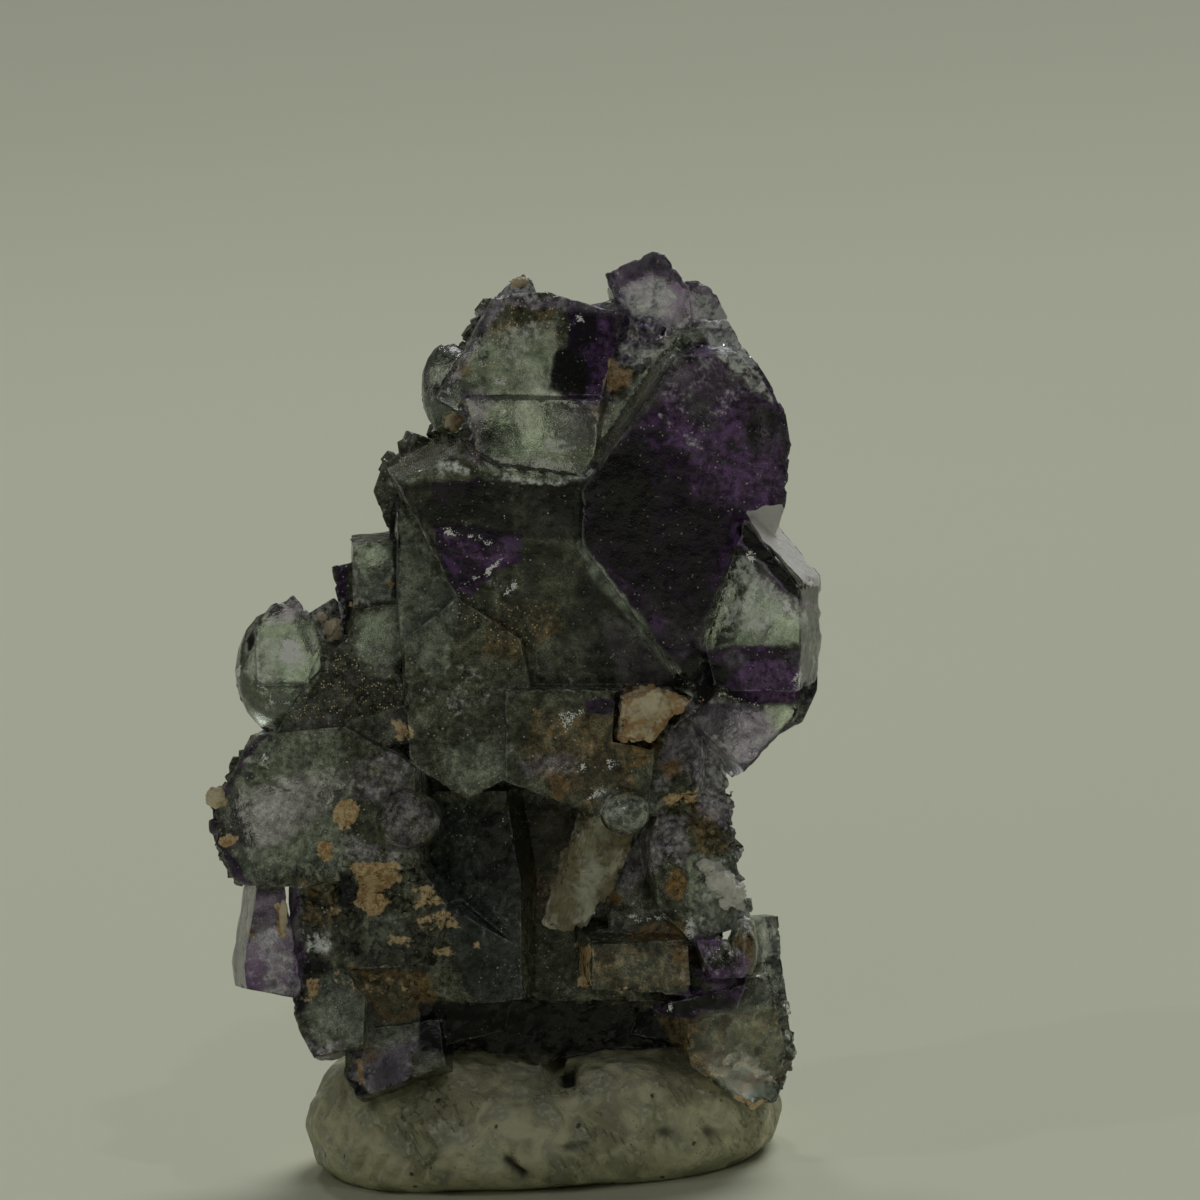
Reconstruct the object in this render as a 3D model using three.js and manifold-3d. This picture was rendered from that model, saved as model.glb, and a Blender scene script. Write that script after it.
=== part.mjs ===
// Fluorite cluster: intergrown cubes, a pale lath and a tan grain, held up by a lump of putty.
// Millimetres, +Z up, the front towards -Y, the origin in the middle of the putty's flat base.

import * as THREE from 'three';
import { mergeVertices } from 'three/addons/utils/BufferGeometryUtils.js';
import Module from 'manifold-3d';

const wasm = await Module();
wasm.setup();

// Driving dimensions
const puttyHalfWidth = 7.7;
const puttyHalfDepth = 5.3;
const fit = 0.3;
const mergeDistance = 1e-4;
const shortestEdge = 0.01;
const degree = Math.PI / 180;

// An angle and a share that spread numbered things evenly
const goldenAngle = 2.39996;
const goldenShare = 0.618;

// Small cubes: how far one turns with its number, its sides as shares of its size, and how the
// sizes along a rough edge differ
const cubeTurn = [1.13, 0.71, 1.87];
const cubeSides = [1, 0.9, 1.1];
const roughSizes = { least: 0.75, spread: 0.5 };

// The small cubes of the hidden side: `behind` is how far round to the back one has to face, and
// `sunk` is the share of its size that it lies deeper than the skin
const backCubes = {
  count: 64, lowest: 5, highest: 26, behind: 0.4, smallest: 0.9, largest: 2.4, sunk: 0.25, clear: 30,
};

// The putty's mesh, and the power that squares its upper half
const puttyMesh = { around: 30, rings: 18, power: 0.78 };

// Outlines are measured as the cluster shows from in front: across to the right of the base's
// middle, up from it, and depth away from it. The sight is a little above and leans to one side.
const sight = { distance: 250, rise: 9 * degree, roll: 3.85 * degree, across: 1.8, up: 18.57 };

// Unit vectors of the sight: away from the eye, to the right and up
const away = new THREE.Vector3(0, Math.cos(sight.rise), -Math.sin(sight.rise));
const across = new THREE.Vector3(1, 0, 0).applyAxisAngle(away, sight.roll);
const up = new THREE.Vector3(0, Math.sin(sight.rise), Math.cos(sight.rise))
  .applyAxisAngle(away, sight.roll);

function sightRay(a, u) {
  return away.clone()
    .addScaledVector(across, (a - sight.across) / sight.distance)
    .addScaledVector(up, (u - sight.up) / sight.distance);
}

// The ray through the base's middle ends at the origin
const baseRay = sightRay(0, 0);
const eye = baseRay.clone().multiplyScalar(-sight.distance * away.y / baseRay.y);

function sightPoint(a, u, depth) {
  return eye.clone().addScaledVector(sightRay(a, u), sight.distance + depth);
}

// A closed geometry as a solid, and a solid as a geometry
function solidOf(geometry) {
  geometry.deleteAttribute('normal');
  geometry.deleteAttribute('uv');
  const merged = mergeVertices(geometry, mergeDistance);
  return new wasm.Manifold(new wasm.Mesh({
    numProp: 3,
    vertProperties: new Float32Array(merged.attributes.position.array),
    triVerts: new Uint32Array(merged.index.array),
  }));
}

function geometryOf(solid) {
  const { vertProperties, triVerts } = solid.getMesh();
  const geometry = new THREE.BufferGeometry();
  geometry.setAttribute('position', new THREE.BufferAttribute(vertProperties, 3));
  geometry.setIndex(new THREE.BufferAttribute(triVerts, 1));
  return geometry;
}

function join(solids) {
  return solids.reduce((whole, solid) => whole.add(solid));
}

// The largest closed skin of a solid: pores between crystals are filled and loose slivers dropped
function outerBody(solid) {
  const volume = (body) => body.volume();
  return solid.decompose().reduce((largest, body) => (volume(body) > volume(largest) ? body : largest));
}

// A crystal is a flat face seen from in front and the straight sides behind it. The face's
// middle is at the depth `at`, `lean` is how fast it falls away to the right and upwards, and
// `deep` is how far the sides run back, square to the face.
function crystal({ face, at, lean = [0, 0], deep, grow = 0 }) {
  const centre = new THREE.Vector2();
  face.forEach(([a, u]) => centre.add(new THREE.Vector2(a, u).divideScalar(face.length)));
  const normal = away.clone().addScaledVector(across, -lean[0]).addScaledVector(up, -lean[1]);
  normal.normalize();
  const middle = sightPoint(centre.x, centre.y, at - grow);
  const plane = new THREE.Plane().setFromNormalAndCoplanarPoint(normal, middle);
  const side = new THREE.Vector3().crossVectors(up, normal).normalize().negate();
  const top = new THREE.Vector3().crossVectors(normal, side);
  const frame = new THREE.Matrix4().makeBasis(side, top, normal).setPosition(middle);
  const toFrame = frame.clone().invert();
  const outline = face.map(([a, u]) => {
    const outward = new THREE.Vector2(a, u).sub(centre);
    outward.setLength(outward.length() + grow * Math.SQRT2).add(centre);
    const ray = new THREE.Ray(eye, sightRay(outward.x, outward.y).normalize());
    const corner = ray.intersectPlane(plane, new THREE.Vector3()).applyMatrix4(toFrame);
    return new THREE.Vector2(corner.x, corner.y);
  });
  const options = { depth: deep + 2 * grow, bevelEnabled: false };
  return solidOf(new THREE.ExtrudeGeometry(new THREE.Shape(outline), options).applyMatrix4(frame));
}

// The outline of a turned rectangle
function rectangle([a, u, width, height, turn]) {
  const corners = [[-1, -1], [1, -1], [1, 1], [-1, 1]];
  return corners.map(([x, y]) => {
    const corner = new THREE.Vector2(x * width / 2, y * height / 2);
    corner.rotateAround(new THREE.Vector2(), turn * degree);
    return [a + corner.x, u + corner.y];
  });
}

// A rounded lump, squashed to its own half sizes across, up and away
function lump({ centre, size, detail = 2 }) {
  const geometry = new THREE.IcosahedronGeometry(1, detail);
  const toward = away.clone().negate();
  const frame = new THREE.Matrix4().makeBasis(across, up, toward).setPosition(sightPoint(...centre));
  geometry.scale(...size).applyMatrix4(frame);
  return solidOf(geometry);
}

// A small cube turned by its number, so that no two neighbours lie alike
function smallCube(centre, size, number) {
  const turn = new THREE.Euler(...cubeTurn.map((angle) => number * angle));
  const geometry = new THREE.BoxGeometry(...cubeSides.map((share) => size * share));
  const frame = new THREE.Matrix4().makeRotationFromEuler(turn).setPosition(centre);
  return solidOf(geometry.applyMatrix4(frame));
}

// Crystals at the top, from left to right
const topCrystals = [
  { face: [[-1.7, 28.75], [0.05, 28.85], [2.65, 28.1], [1.8, 25.15], [-2.85, 25.15], [-3.5, 25.55]],
    at: -3.6, lean: [0.12, 0.1], deep: 4.2 },
  { face: [[-2.8, 25.3], [1.8, 25.2], [1.55, 22.65], [0.2, 22.35], [-1.35, 22.6], [-2.25, 23.15]],
    at: -4.6, lean: [-0.1, -0.12], deep: 4.5 },
  { face: [[-1.55, 28.4], [-1.25, 29.1], [-0.75, 29.45], [-0.45, 29.25], [-0.15, 28.4]],
    at: -2, lean: [0.3, 0.2], deep: 1.6 },
  { face: [[1.95, 29.45], [3.55, 30.2], [3.95, 30.1], [4.8, 28.95], [4.85, 27.7], [3.65, 27.4],
    [2.35, 28.45]], at: -2.4, lean: [-0.05, 0.3], deep: 3 },
  { face: [[4.5, 29.2], [5.15, 29.25], [5.65, 28.85], [6.1, 27.9], [5.65, 26.5], [4, 26.8]],
    at: -1, lean: [0.3, 0.1], deep: 3 },
  { face: [[4.6, 27.9], [6.05, 27.95], [7.2, 26.25], [8, 24.85], [6.15, 24], [3.8, 26]],
    at: -2.2, lean: [0.25, 0.25], deep: 4.5 },
  { face: [[1.8, 28.2], [3.45, 27.9], [4.8, 27.9], [4.2, 25.25], [1.65, 23.9], [1.3, 25.25]],
    at: -2.6, lean: [0.1, 0.25], deep: 4.6 },
];

// The two crystals with colour bands on the right, and the tip under them
const rightCrystals = [
  { face: [[1.2, 22.2], [4.35, 26.65], [6.35, 26.85], [7.25, 25.9], [8, 24.75], [8.15, 23.75],
    [8, 21.8], [6.05, 15.8], [5.25, 15], [1.2, 20.4]], at: -5.4, lean: [0.11, -0.1], deep: 7 },
  { face: [[6.6, 21.25], [8.45, 19.05], [8.5, 17], [8.35, 15.5], [5.65, 15.55], [5.3, 17.05]],
    at: -6.2, lean: [-0.27, -0.12], deep: 3 },
  { face: [[4.55, 14.85], [5.15, 16.6], [8.1, 16.2], [8.45, 14.8], [6.65, 12.85]],
    at: -4.9, lean: [0.12, 0.1], deep: 3.2 },
  { face: [[8.1, 16.75], [9.05, 16.55], [9.05, 15.55], [8.55, 14.5], [7.45, 13.9], [6.4, 15.25]],
    at: -3.6, lean: [0.2, 0.1], deep: 2.2 },
];

// The central block, its left face, and the two blocks that end in a ledge over the hollow
const centreCrystals = [
  { face: [[-5, 22.55], [-2.6, 23.65], [-1.55, 23.05], [1.45, 22.65], [3.15, 18.9], [5.35, 14.95],
    [-1.35, 15.25], [-3, 18.65]], at: -4.9, lean: [0.1, -0.11], deep: 7 },
  { face: [[-4.95, 21.65], [-4.45, 21.65], [-2.95, 18.65], [-1.15, 15.5], [-2.55, 14.5],
    [-4.7, 15.05], [-4.95, 18.9]], at: -4.7, lean: [0.06, 0.05], deep: 6.5 },
  { face: [[-4.75, 17.25], [-2.95, 18.65], [-0.85, 17.25], [-0.45, 15.25], [-0.6, 12.35],
    [-1.45, 12.55], [-2.6, 11.85], [-4.55, 13.15]], at: -5.2, lean: [-0.08, -0.08], deep: 6 },
  { face: [[-1.35, 15.55], [4.8, 15.55], [5.2, 15.05], [3.65, 13.85], [3.4, 11.5], [2.85, 10.85],
    [1.3, 11.5], [-1.35, 12.5]], at: -5.6, lean: [0.05, -0.1], deep: 5.4 },
];

// Crystals on the left, from the two narrow ones down to the serrated lump
const leftCrystals = [
  { face: [[-6.45, 20.45], [-4.5, 20.65], [-4.5, 18.1], [-6.45, 18.3]],
    at: -3, lean: [0.05, -0.1], deep: 3.4 },
  { face: [[-7.15, 19.7], [-6.2, 19.95], [-6, 17.9], [-6.75, 17.3]],
    at: -2.6, lean: [-0.35, 0.05], deep: 2.6 },
  { face: [[-5.75, 22.2], [-5.5, 23], [-4.9, 23.5], [-4.6, 20.4], [-5.2, 20.7]],
    at: -1.2, lean: [-0.2, 0.1], deep: 2.4 },
  { face: [[-8.3, 17.9], [-7.05, 18.65], [-6.3, 17.7], [-6.6, 16.4], [-7.6, 16.2]],
    at: -2, lean: [0.1, 0.15], deep: 2.6 },
  { face: [[-9.7, 17.7], [-9.2, 18.4], [-8.4, 18.75], [-7.9, 18.15], [-7.4, 17.2], [-8, 15.8],
    [-9.6, 15.8]], at: -4.3, lean: [0.1, 0.16], deep: 3.4 },
  { face: [[-8.2, 15.55], [-6.7, 17.3], [-6.15, 18.3], [-4.75, 18.45], [-4.4, 15.25], [-4.4, 13.8],
    [-7.2, 13.5], [-9.2, 13.8]], at: -3.9, lean: [-0.1, 0.12], deep: 5.6 },
  { face: [[-9.85, 14.05], [-6.7, 14.35], [-4.4, 13.05], [-4.2, 9.65], [-8.2, 8.95], [-10.35, 9.1],
    [-11, 10.4], [-11.1, 11.9], [-10.5, 12.7]], at: -4.3, lean: [-0.1, -0.06], deep: 6 },
];

// Crystals at the foot: the purple and the green one on the left, the stained mass, the slate
// coloured prism, the block with its window, and the column on the right
const footCrystals = [
  { face: [[-9.6, 9.2], [-8.75, 9.3], [-8.1, 5.25], [-9.95, 5.6], [-10.05, 6.4]],
    at: -3.9, lean: [0.2, 0.02], deep: 3 },
  { face: [[-8.6, 9.25], [-6.7, 9.9], [-4.3, 9.9], [-3.25, 8.4], [-3.85, 6.4], [-7.2, 6.2],
    [-8.6, 6.6]], at: -3.5, lean: [-0.12, -0.1], deep: 6 },
  { face: [[-8.4, 6.7], [-6.9, 6.7], [-6, 5.25], [-6.1, 3.7], [-7.75, 3.3], [-8.2, 4.15],
    [-8.45, 4.85]], at: -3.3, lean: [-0.05, 0.1], deep: 3.8 },
  { face: [[-6.6, 4.2], [-6.75, 2.75], [-6.3, 1.95], [-5.75, 2.15], [-3.35, 3.05], [-3.55, 4.6]],
    at: -2.2, lean: [-0.15, 0.2], deep: 4 },
  { face: [[-7.05, 6.9], [-3.55, 8.55], [-0.7, 6.9], [-1.35, 4.2], [-4.2, 3.5], [-6.45, 3.7]],
    at: -2.2, lean: [0.1, -0.4], deep: 6 },
  { face: [[-3.85, 12.2], [-1.35, 12.2], [-0.85, 9.25], [-0.8, 5.25], [-2.55, 5.05], [-3.85, 8.4]],
    at: -2.2, lean: [-0.3, -0.05], deep: 5.6 },
  { face: [[2, 8.55], [3.15, 10.85], [3.85, 12], [5.3, 12.2], [5.05, 8.25], [4.7, 7],
    [2.15, 6.8]], at: -2.6, lean: [-0.2, 0.15], deep: 5 },
  { face: [[1.55, 7.05], [4.7, 7.25], [4.85, 5.35], [1.55, 5.6]],
    at: -3.7, lean: [0.18, -0.22], deep: 3.6 },
  { face: [[5, 7.25], [6.05, 7.3], [6.65, 6], [5.5, 5.95]],
    at: -4, lean: [0.1, 0.1], deep: 2.6 },
  { face: [[3.4, 4.95], [6.65, 5.75], [6.4, 4.9], [4.8, 4.35]],
    at: -3.2, lean: [0, -0.5], deep: 2.4 },
  { face: [[4.6, 5.6], [7.45, 6.1], [8, 3.55], [7.55, 2.05], [6.85, 1.5], [4.8, 3.05]],
    at: -1.9, lean: [0.15, -0.2], deep: 4.6 },
  { face: [[6.75, 7.95], [7.75, 8.05], [7.85, 6.55], [8.05, 5.25], [8.15, 3.9], [8.15, 3.05],
    [7.7, 1.85], [7.25, 1.75], [6.3, 3.25], [5.95, 5.9]], at: -1.1, lean: [0.1, 0.02], deep: 3.6 },
  { face: [[-4.2, 5.9], [5.15, 5.9], [5.65, 2.3], [0.45, 2.2], [-4.05, 2.3]],
    at: 0.2, lean: [0, -0.2], deep: 4.2 },
];

// The stepped strip down the right side, between the tip and the block
const stepCrystals = [
  { face: [[3.45, 13.9], [4.6, 15], [5.15, 13.75], [5.05, 12.15], [4.45, 12.05], [3.4, 11.4]],
    at: -4.5, lean: [-0.25, 0.1], deep: 4 },
  { face: [[4.65, 14.6], [5.15, 14.4], [5.85, 13.5], [5.9, 12.75], [6.05, 11.9], [6.15, 11.4],
    [5.95, 10.6], [4.6, 11.6]], at: -3.7, lean: [0.3, 0.1], deep: 4 },
  { face: [[3.45, 10.65], [3.85, 11.8], [4.55, 12.25], [5.15, 11.95], [6.25, 10.9], [6.1, 10.35],
    [6.4, 9.85], [6.55, 8.9], [6.85, 7.95], [5.15, 7], [3.8, 8.2]],
    at: -3.3, lean: [0.25, 0.05], deep: 4.6 },
];

// The hidden side: turned cubes of the same sizes, all inside the outline seen from in front
const backCrystals = [
  { box: [1.6, 25.2, 4.6, 4, 18], at: -1.5, lean: [0.1, -0.22], deep: 5.6 },
  { box: [4.1, 22.4, 4.4, 4.4, 40], at: -1, lean: [-0.08, 0.12], deep: 6.6 },
  { box: [-1.4, 22, 4.8, 4.2, -14], at: -1, lean: [0.22, 0.14], deep: 6 },
  { box: [1.4, 19.4, 4.8, 4.8, 52], at: -1, lean: [0.05, 0.1], deep: 7.4 },
  { box: [4.6, 16.6, 4.6, 4.4, 8], at: -1, lean: [-0.12, -0.2], deep: 6.4 },
  { box: [-3.6, 17.2, 4.4, 4.2, 33], at: -1, lean: [0.26, 0.04], deep: 5.8 },
  { box: [0.2, 13.4, 5.4, 5, -20], at: -1, lean: [0.1, -0.12], deep: 7.2 },
  { box: [-6.4, 12, 5, 4.4, 12], at: -1, lean: [0.3, 0.1], deep: 4.8 },
  { box: [3.2, 11.2, 3.6, 4.2, 28], at: -1, lean: [-0.1, 0.12], deep: 5.8 },
  { box: [-2.6, 9, 5, 4.8, 44], at: -1, lean: [0.16, -0.14], deep: 6.6 },
  { box: [-5.2, 7, 3.8, 4, -8], at: -1, lean: [0.34, -0.1], deep: 4.8 },
  { box: [2.6, 7.4, 4.4, 4.2, 16], at: -1, lean: [-0.1, -0.16], deep: 6.8 },
  { box: [4.8, 5.4, 3.4, 3.4, -12], at: -0.4, lean: [-0.2, 0.1], deep: 4.6 },
  { box: [-0.8, 4.9, 4, 3.2, 6], at: 0.4, lean: [0.08, -0.24], deep: 4.4 },
];

// The mass that the crystals grew on, behind the hollow in the front
const heart = {
  face: [[-2.5, 24.2], [5.6, 25], [7, 21.9], [5.6, 15.5], [5, 12.2], [5.4, 6.2], [4.8, 5.2],
    [-3.5, 5.2], [-6.4, 6.2], [-7.8, 10.2], [-7.8, 13.9], [-4.8, 18.2]],
  at: -1, deep: 5,
};

// Rounded crystals and beads, with their half sizes
const lumps = [
  { centre: [-3.25, 25.6, -1.2], size: [0.92, 1.55, 1.2] },
  { centre: [-8.85, 16.2, -2.2], size: [1.5, 2.1, 1.85] },
  { centre: [-4.55, 11.25, -4.7], size: [1.1, 1, 0.9] },
  { centre: [2.6, 11.5, -5.7], size: [0.85, 0.72, 0.6] },
  { centre: [6.6, 7.05, -3.4], size: [0.5, 1.1, 0.9] },
  { centre: [-1.35, 12.05, -3.3], size: [0.36, 0.42, 0.4], detail: 1 },
  { centre: [2.2, 28.2, -1.6], size: [0.5, 0.4, 0.5], detail: 1 },
];

// Rows of very small cubes along the rough edges, as [across, up, depth] from end to end
const roughEdges = [
  { path: [[-9.75, 13.8, -3.6], [-10.5, 12.5, -3.6], [-10.9, 11.2, -3.6], [-10.7, 10.2, -3.4],
    [-10.2, 9.3, -3.2]], count: 14, size: 0.42 },
  { path: [[7.85, 6, -1.4], [7.9, 4.6, -1.4], [8, 3.4, -1.2], [7.5, 2.1, -1.2]], count: 9,
    size: 0.45 },
  { path: [[5.75, 13.2, -3], [5.9, 11.6, -2.8], [6.1, 10.4, -2.6], [6.5, 8.4, -2.4]], count: 8,
    size: 0.5 },
];

function roughEdge({ path, count, size }) {
  const curve = new THREE.CatmullRomCurve3(path.map((point) => sightPoint(...point)));
  return Array.from({ length: count }, (_, number) => {
    const scale = roughSizes.least + roughSizes.spread * ((number * goldenAngle) % 1);
    return smallCube(curve.getPoint(number / (count - 1)), size * scale, number + count);
  });
}

// Small cubes sit all over the back and the sides, where a ray from outside meets the mass
function smallCubesOn(solid) {
  const { count, lowest, highest, behind, smallest, largest, sunk, clear } = backCubes;
  const target = new THREE.Mesh(geometryOf(solid), new THREE.MeshBasicMaterial({ side: THREE.DoubleSide }));
  const cubes = [];
  for (let number = 0; number < count; number += 1) {
    const angle = (number * goldenAngle) % (2 * Math.PI);
    const outward = new THREE.Vector3(Math.cos(angle), Math.sin(angle), 0);
    if (outward.y < behind) continue;
    const height = THREE.MathUtils.lerp(lowest, highest, (number + 0.5) / count);
    const start = outward.clone().multiplyScalar(clear).setZ(height);
    const caster = new THREE.Raycaster(start, outward.clone().negate());
    const [hit] = caster.intersectObject(target);
    if (!hit) continue;
    const size = THREE.MathUtils.lerp(smallest, largest, (number * goldenShare) % 1);
    cubes.push(smallCube(hit.point.addScaledVector(outward, -sunk * size), size, number));
  }
  return cubes;
}

// A lobe of putty: round in plan, squarish in its upper half and rounder in its lower half
function lobe({ centre, size }, gap) {
  const { around, rings, power } = puttyMesh;
  const geometry = new THREE.SphereGeometry(1, around, rings).rotateX(Math.PI / 2);
  const position = geometry.attributes.position;
  for (let number = 0; number < position.count; number += 1) {
    const point = new THREE.Vector3().fromBufferAttribute(position, number);
    if (point.z > 0) {
      const radius = Math.max(Math.hypot(point.x, point.y), mergeDistance);
      const spread = radius ** (power - 1);
      point.set(point.x * spread, point.y * spread, point.z ** power);
    }
    position.setXYZ(number, ...point);
  }
  const [width, depth, height] = size.map((half) => half + gap);
  return solidOf(geometry.scale(width, depth, height).translate(...centre));
}

// The putty: a pad and two thumbed lobes, flat underneath. The gap grows it on every side.
const puttyLobes = [
  { centre: [0.1, -0.1, 1.2], size: [puttyHalfWidth, puttyHalfDepth, 2.2] },
  { centre: [-3.2, 0.2, 1.3], size: [4.5, 4.8, 2.85] },
  { centre: [3, -0.1, 1.2], size: [4.8, 5.1, 2.6] },
];

function putty(gap) {
  const under = new THREE.BoxGeometry(4 * puttyHalfWidth, 4 * puttyHalfDepth, 2 * puttyHalfDepth)
    .translate(0, 0, -puttyHalfDepth - gap);
  return join(puttyLobes.map((shape) => lobe(shape, gap))).subtract(solidOf(under));
}

const lath = {
  face: [[1.25, 11.15], [1.8, 11.45], [3.05, 11.05], [2.15, 9], [1.55, 8.1], [0.95, 7.6],
    [0.05, 7.9], [0.35, 8.85], [0.75, 9.95]],
  at: -3.5, lean: [0.15, -0.15], deep: 0.9,
};

const wedge = {
  face: [[2.75, 15.2], [3.6, 15.5], [4.55, 15.15], [4.05, 14.55], [3.55, 13.95], [2.65, 14.05]],
  at: -6.1, lean: [0.1, -0.05], deep: 1.4,
};

function fluorite() {
  const shown = [topCrystals, rightCrystals, centreCrystals, leftCrystals, footCrystals, stepCrystals];
  const hidden = backCrystals.map(({ box, ...rest }) => ({ face: rectangle(box), ...rest }));
  const prisms = [heart, ...shown.flat(), ...hidden].map(crystal);
  const mass = join([...prisms, ...lumps.map(lump), ...roughEdges.flatMap(roughEdge)]);
  const whole = join([mass, ...smallCubesOn(mass)])
    .subtract(crystal({ ...lath, grow: fit }))
    .subtract(crystal({ ...wedge, grow: fit }))
    .subtract(putty(fit));
  return outerBody(whole.simplify(shortestEdge));
}

function piece(name, solid, color, roughness) {
  const mesh = new THREE.Mesh(
    geometryOf(solid),
    new THREE.MeshStandardMaterial({ color, roughness, metalness: 0 }),
  );
  mesh.name = name;
  return mesh;
}

const cluster = new THREE.Group();
cluster.add(piece('fluorite_cluster', fluorite(), 0x5d5a63, 0.2));
cluster.add(piece('pale_lath', crystal(lath), 0xa39f86, 0.5));
cluster.add(piece('tan_wedge', crystal(wedge), 0xb08a5a, 0.6));
cluster.add(piece('putty_lump', putty(0), 0x8d8a78, 0.8));

export default cluster;
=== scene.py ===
import math
import random

import bmesh
import bpy
import numpy as np
from mathutils import Matrix, Vector, noise
from mathutils.bvhtree import BVHTree
from mathutils.kdtree import KDTree


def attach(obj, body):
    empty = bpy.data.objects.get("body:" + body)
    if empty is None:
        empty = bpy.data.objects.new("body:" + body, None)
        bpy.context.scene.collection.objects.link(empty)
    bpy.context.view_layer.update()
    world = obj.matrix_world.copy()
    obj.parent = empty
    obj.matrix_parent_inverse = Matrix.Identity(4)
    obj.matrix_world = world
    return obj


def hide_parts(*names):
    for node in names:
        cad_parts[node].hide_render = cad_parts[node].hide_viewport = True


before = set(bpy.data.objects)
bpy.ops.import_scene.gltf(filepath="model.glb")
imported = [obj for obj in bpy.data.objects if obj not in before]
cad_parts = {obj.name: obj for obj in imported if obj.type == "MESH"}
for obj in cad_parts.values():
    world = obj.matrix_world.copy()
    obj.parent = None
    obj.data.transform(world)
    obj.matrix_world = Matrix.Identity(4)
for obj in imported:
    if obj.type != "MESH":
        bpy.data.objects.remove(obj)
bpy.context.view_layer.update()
millimetre = 0.001

# How the cluster was photographed: from 250 mm, a little above, with a slight roll. There 30 pixels
# are 1 mm, and basePixel shows the middle of the putty's base. Places are in mm until pieceFrom.
sight = {"distance": 250, "rise": 9, "roll": 3.85, "across": 1.8, "up": 18.57}
pixelsPerMm = 30
basePixel = (546, 1157)
lens = 225
sensor = 36

rise = math.radians(sight["rise"])
away = Vector((0, math.cos(rise), -math.sin(rise)))
roll = Matrix.Rotation(math.radians(sight["roll"]), 3, away)
across = roll @ Vector((1, 0, 0))
up = roll @ Vector((0, math.sin(rise), math.cos(rise)))
sightTurn = Matrix((across, up, -away)).transposed().to_4x4()


def sightRay(x, y):
    # the way from the eye to a pixel, one unit along the middle of the sight
    a = (x - basePixel[0]) / pixelsPerMm - sight["across"]
    u = (basePixel[1] - y) / pixelsPerMm - sight["up"]
    return away + (across * a + up * u) / sight["distance"]


baseRay = sightRay(*basePixel)
eye = baseRay * (-sight["distance"] * away.y / baseRay.y)


def pixelsOf(points):
    # where points in mm show in the photograph
    offset = points - np.array(eye)
    depth = offset @ np.array(away)
    a = offset @ np.array(across) / depth * sight["distance"] + sight["across"]
    u = offset @ np.array(up) / depth * sight["distance"] + sight["up"]
    return basePixel[0] + pixelsPerMm * a, basePixel[1] - pixelsPerMm * u


# Shader maths: a Wire is a socket that takes part in Python sums

class Wire:
    def __init__(self, finish, socket):
        self.finish = finish
        self.socket = socket

    def math(self, operation, first, second):
        return self.finish.wire("ShaderNodeMath", {"operation": operation}, {0: first, 1: second})

    def __add__(self, other):
        return self.math("ADD", self, other)

    def __sub__(self, other):
        return self.math("SUBTRACT", self, other)

    def __mul__(self, other):
        return self.math("MULTIPLY", self, other)

    def __rsub__(self, other):
        return self.math("SUBTRACT", other, self)

    __radd__ = __add__


class Finish:
    def __init__(self, name):
        self.material = bpy.data.materials.new(name)
        self.material.use_nodes = True
        self.tree = self.material.node_tree
        self.tree.nodes.clear()
        self.place = self.wire("ShaderNodeTexCoord", output="Object")

    def node(self, kind, settings=None, sockets=None):
        node = self.tree.nodes.new(kind)
        for key, value in (settings or {}).items():
            setattr(node, key, value)
        for key, value in (sockets or {}).items():
            if isinstance(value, Wire):
                self.tree.links.new(value.socket, node.inputs[key])
            else:
                node.inputs[key].default_value = value
        return node

    def wire(self, kind, settings=None, sockets=None, output=0):
        return Wire(self, self.node(kind, settings, sockets).outputs[output])

    def channel(self, name):
        return self.wire("ShaderNodeAttribute", {"attribute_name": name}, output="Fac")

    def cloud(self, size, detail=3, place=None, twist=0):
        # noise with features of about size mm, from 0 to 1
        sockets = {"Vector": place or self.place, "Scale": 1 / (size * millimetre)}
        return self.wire("ShaderNodeTexNoise", None, {**sockets, "Detail": detail, "Distortion": twist})

    def cells(self, size, output="Distance", place=None):
        # cells of about size mm, as the distance to the nearest middle or a colour for each cell
        sockets = {"Vector": place or self.place, "Scale": 1 / (size * millimetre)}
        return self.wire("ShaderNodeTexVoronoi", None, sockets, output)

    def stretched(self, scale, turn):
        sockets = {"Vector": self.place, "Scale": scale, "Rotation": [math.radians(t) for t in turn]}
        return self.wire("ShaderNodeMapping", {"vector_type": "TEXTURE"}, sockets)

    def step(self, value, low, high):
        sockets = {"Value": value, "From Min": low, "From Max": high}
        return self.wire("ShaderNodeMapRange", {"interpolation_type": "SMOOTHSTEP"}, sockets)

    def mixed(self, share, first, second):
        # sockets 6 and 7 are the two colours of the node, and output 2 is the mixed one
        first, second = [color if isinstance(color, Wire) else (*color, 1) for color in (first, second)]
        return self.wire("ShaderNodeMix", {"data_type": "RGBA"}, {"Factor": share, 6: first, 7: second}, 2)

    def shareOf(self, color, name):
        return self.wire("ShaderNodeSeparateColor", None, {"Color": color}, name)

    def surface(self, sockets):
        return self.wire("ShaderNodeBsdfPrincipled", None, sockets)

    def bump(self, height, distance, strength=1.0, base=None):
        sockets = {"Height": height, "Distance": distance * millimetre, "Strength": strength}
        if base:
            sockets["Normal"] = base
        return self.wire("ShaderNodeBump", None, sockets)

    def vector(self, operation, *values):
        return self.wire("ShaderNodeVectorMath", {"operation": operation}, dict(enumerate(values)))

    def scaled(self, color, factor):
        return self.wire("ShaderNodeVectorMath", {"operation": "SCALE"}, {0: color, "Scale": factor})

    def blend(self, share, first, second):
        return self.wire("ShaderNodeMixShader", None, {0: share, 1: first, 2: second})

    def done(self, surface, volume=None):
        sockets = {"Surface": surface}
        if volume:
            sockets["Volume"] = volume
        self.node("ShaderNodeOutputMaterial", None, sockets)
        return self.material


# Finishes

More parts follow.
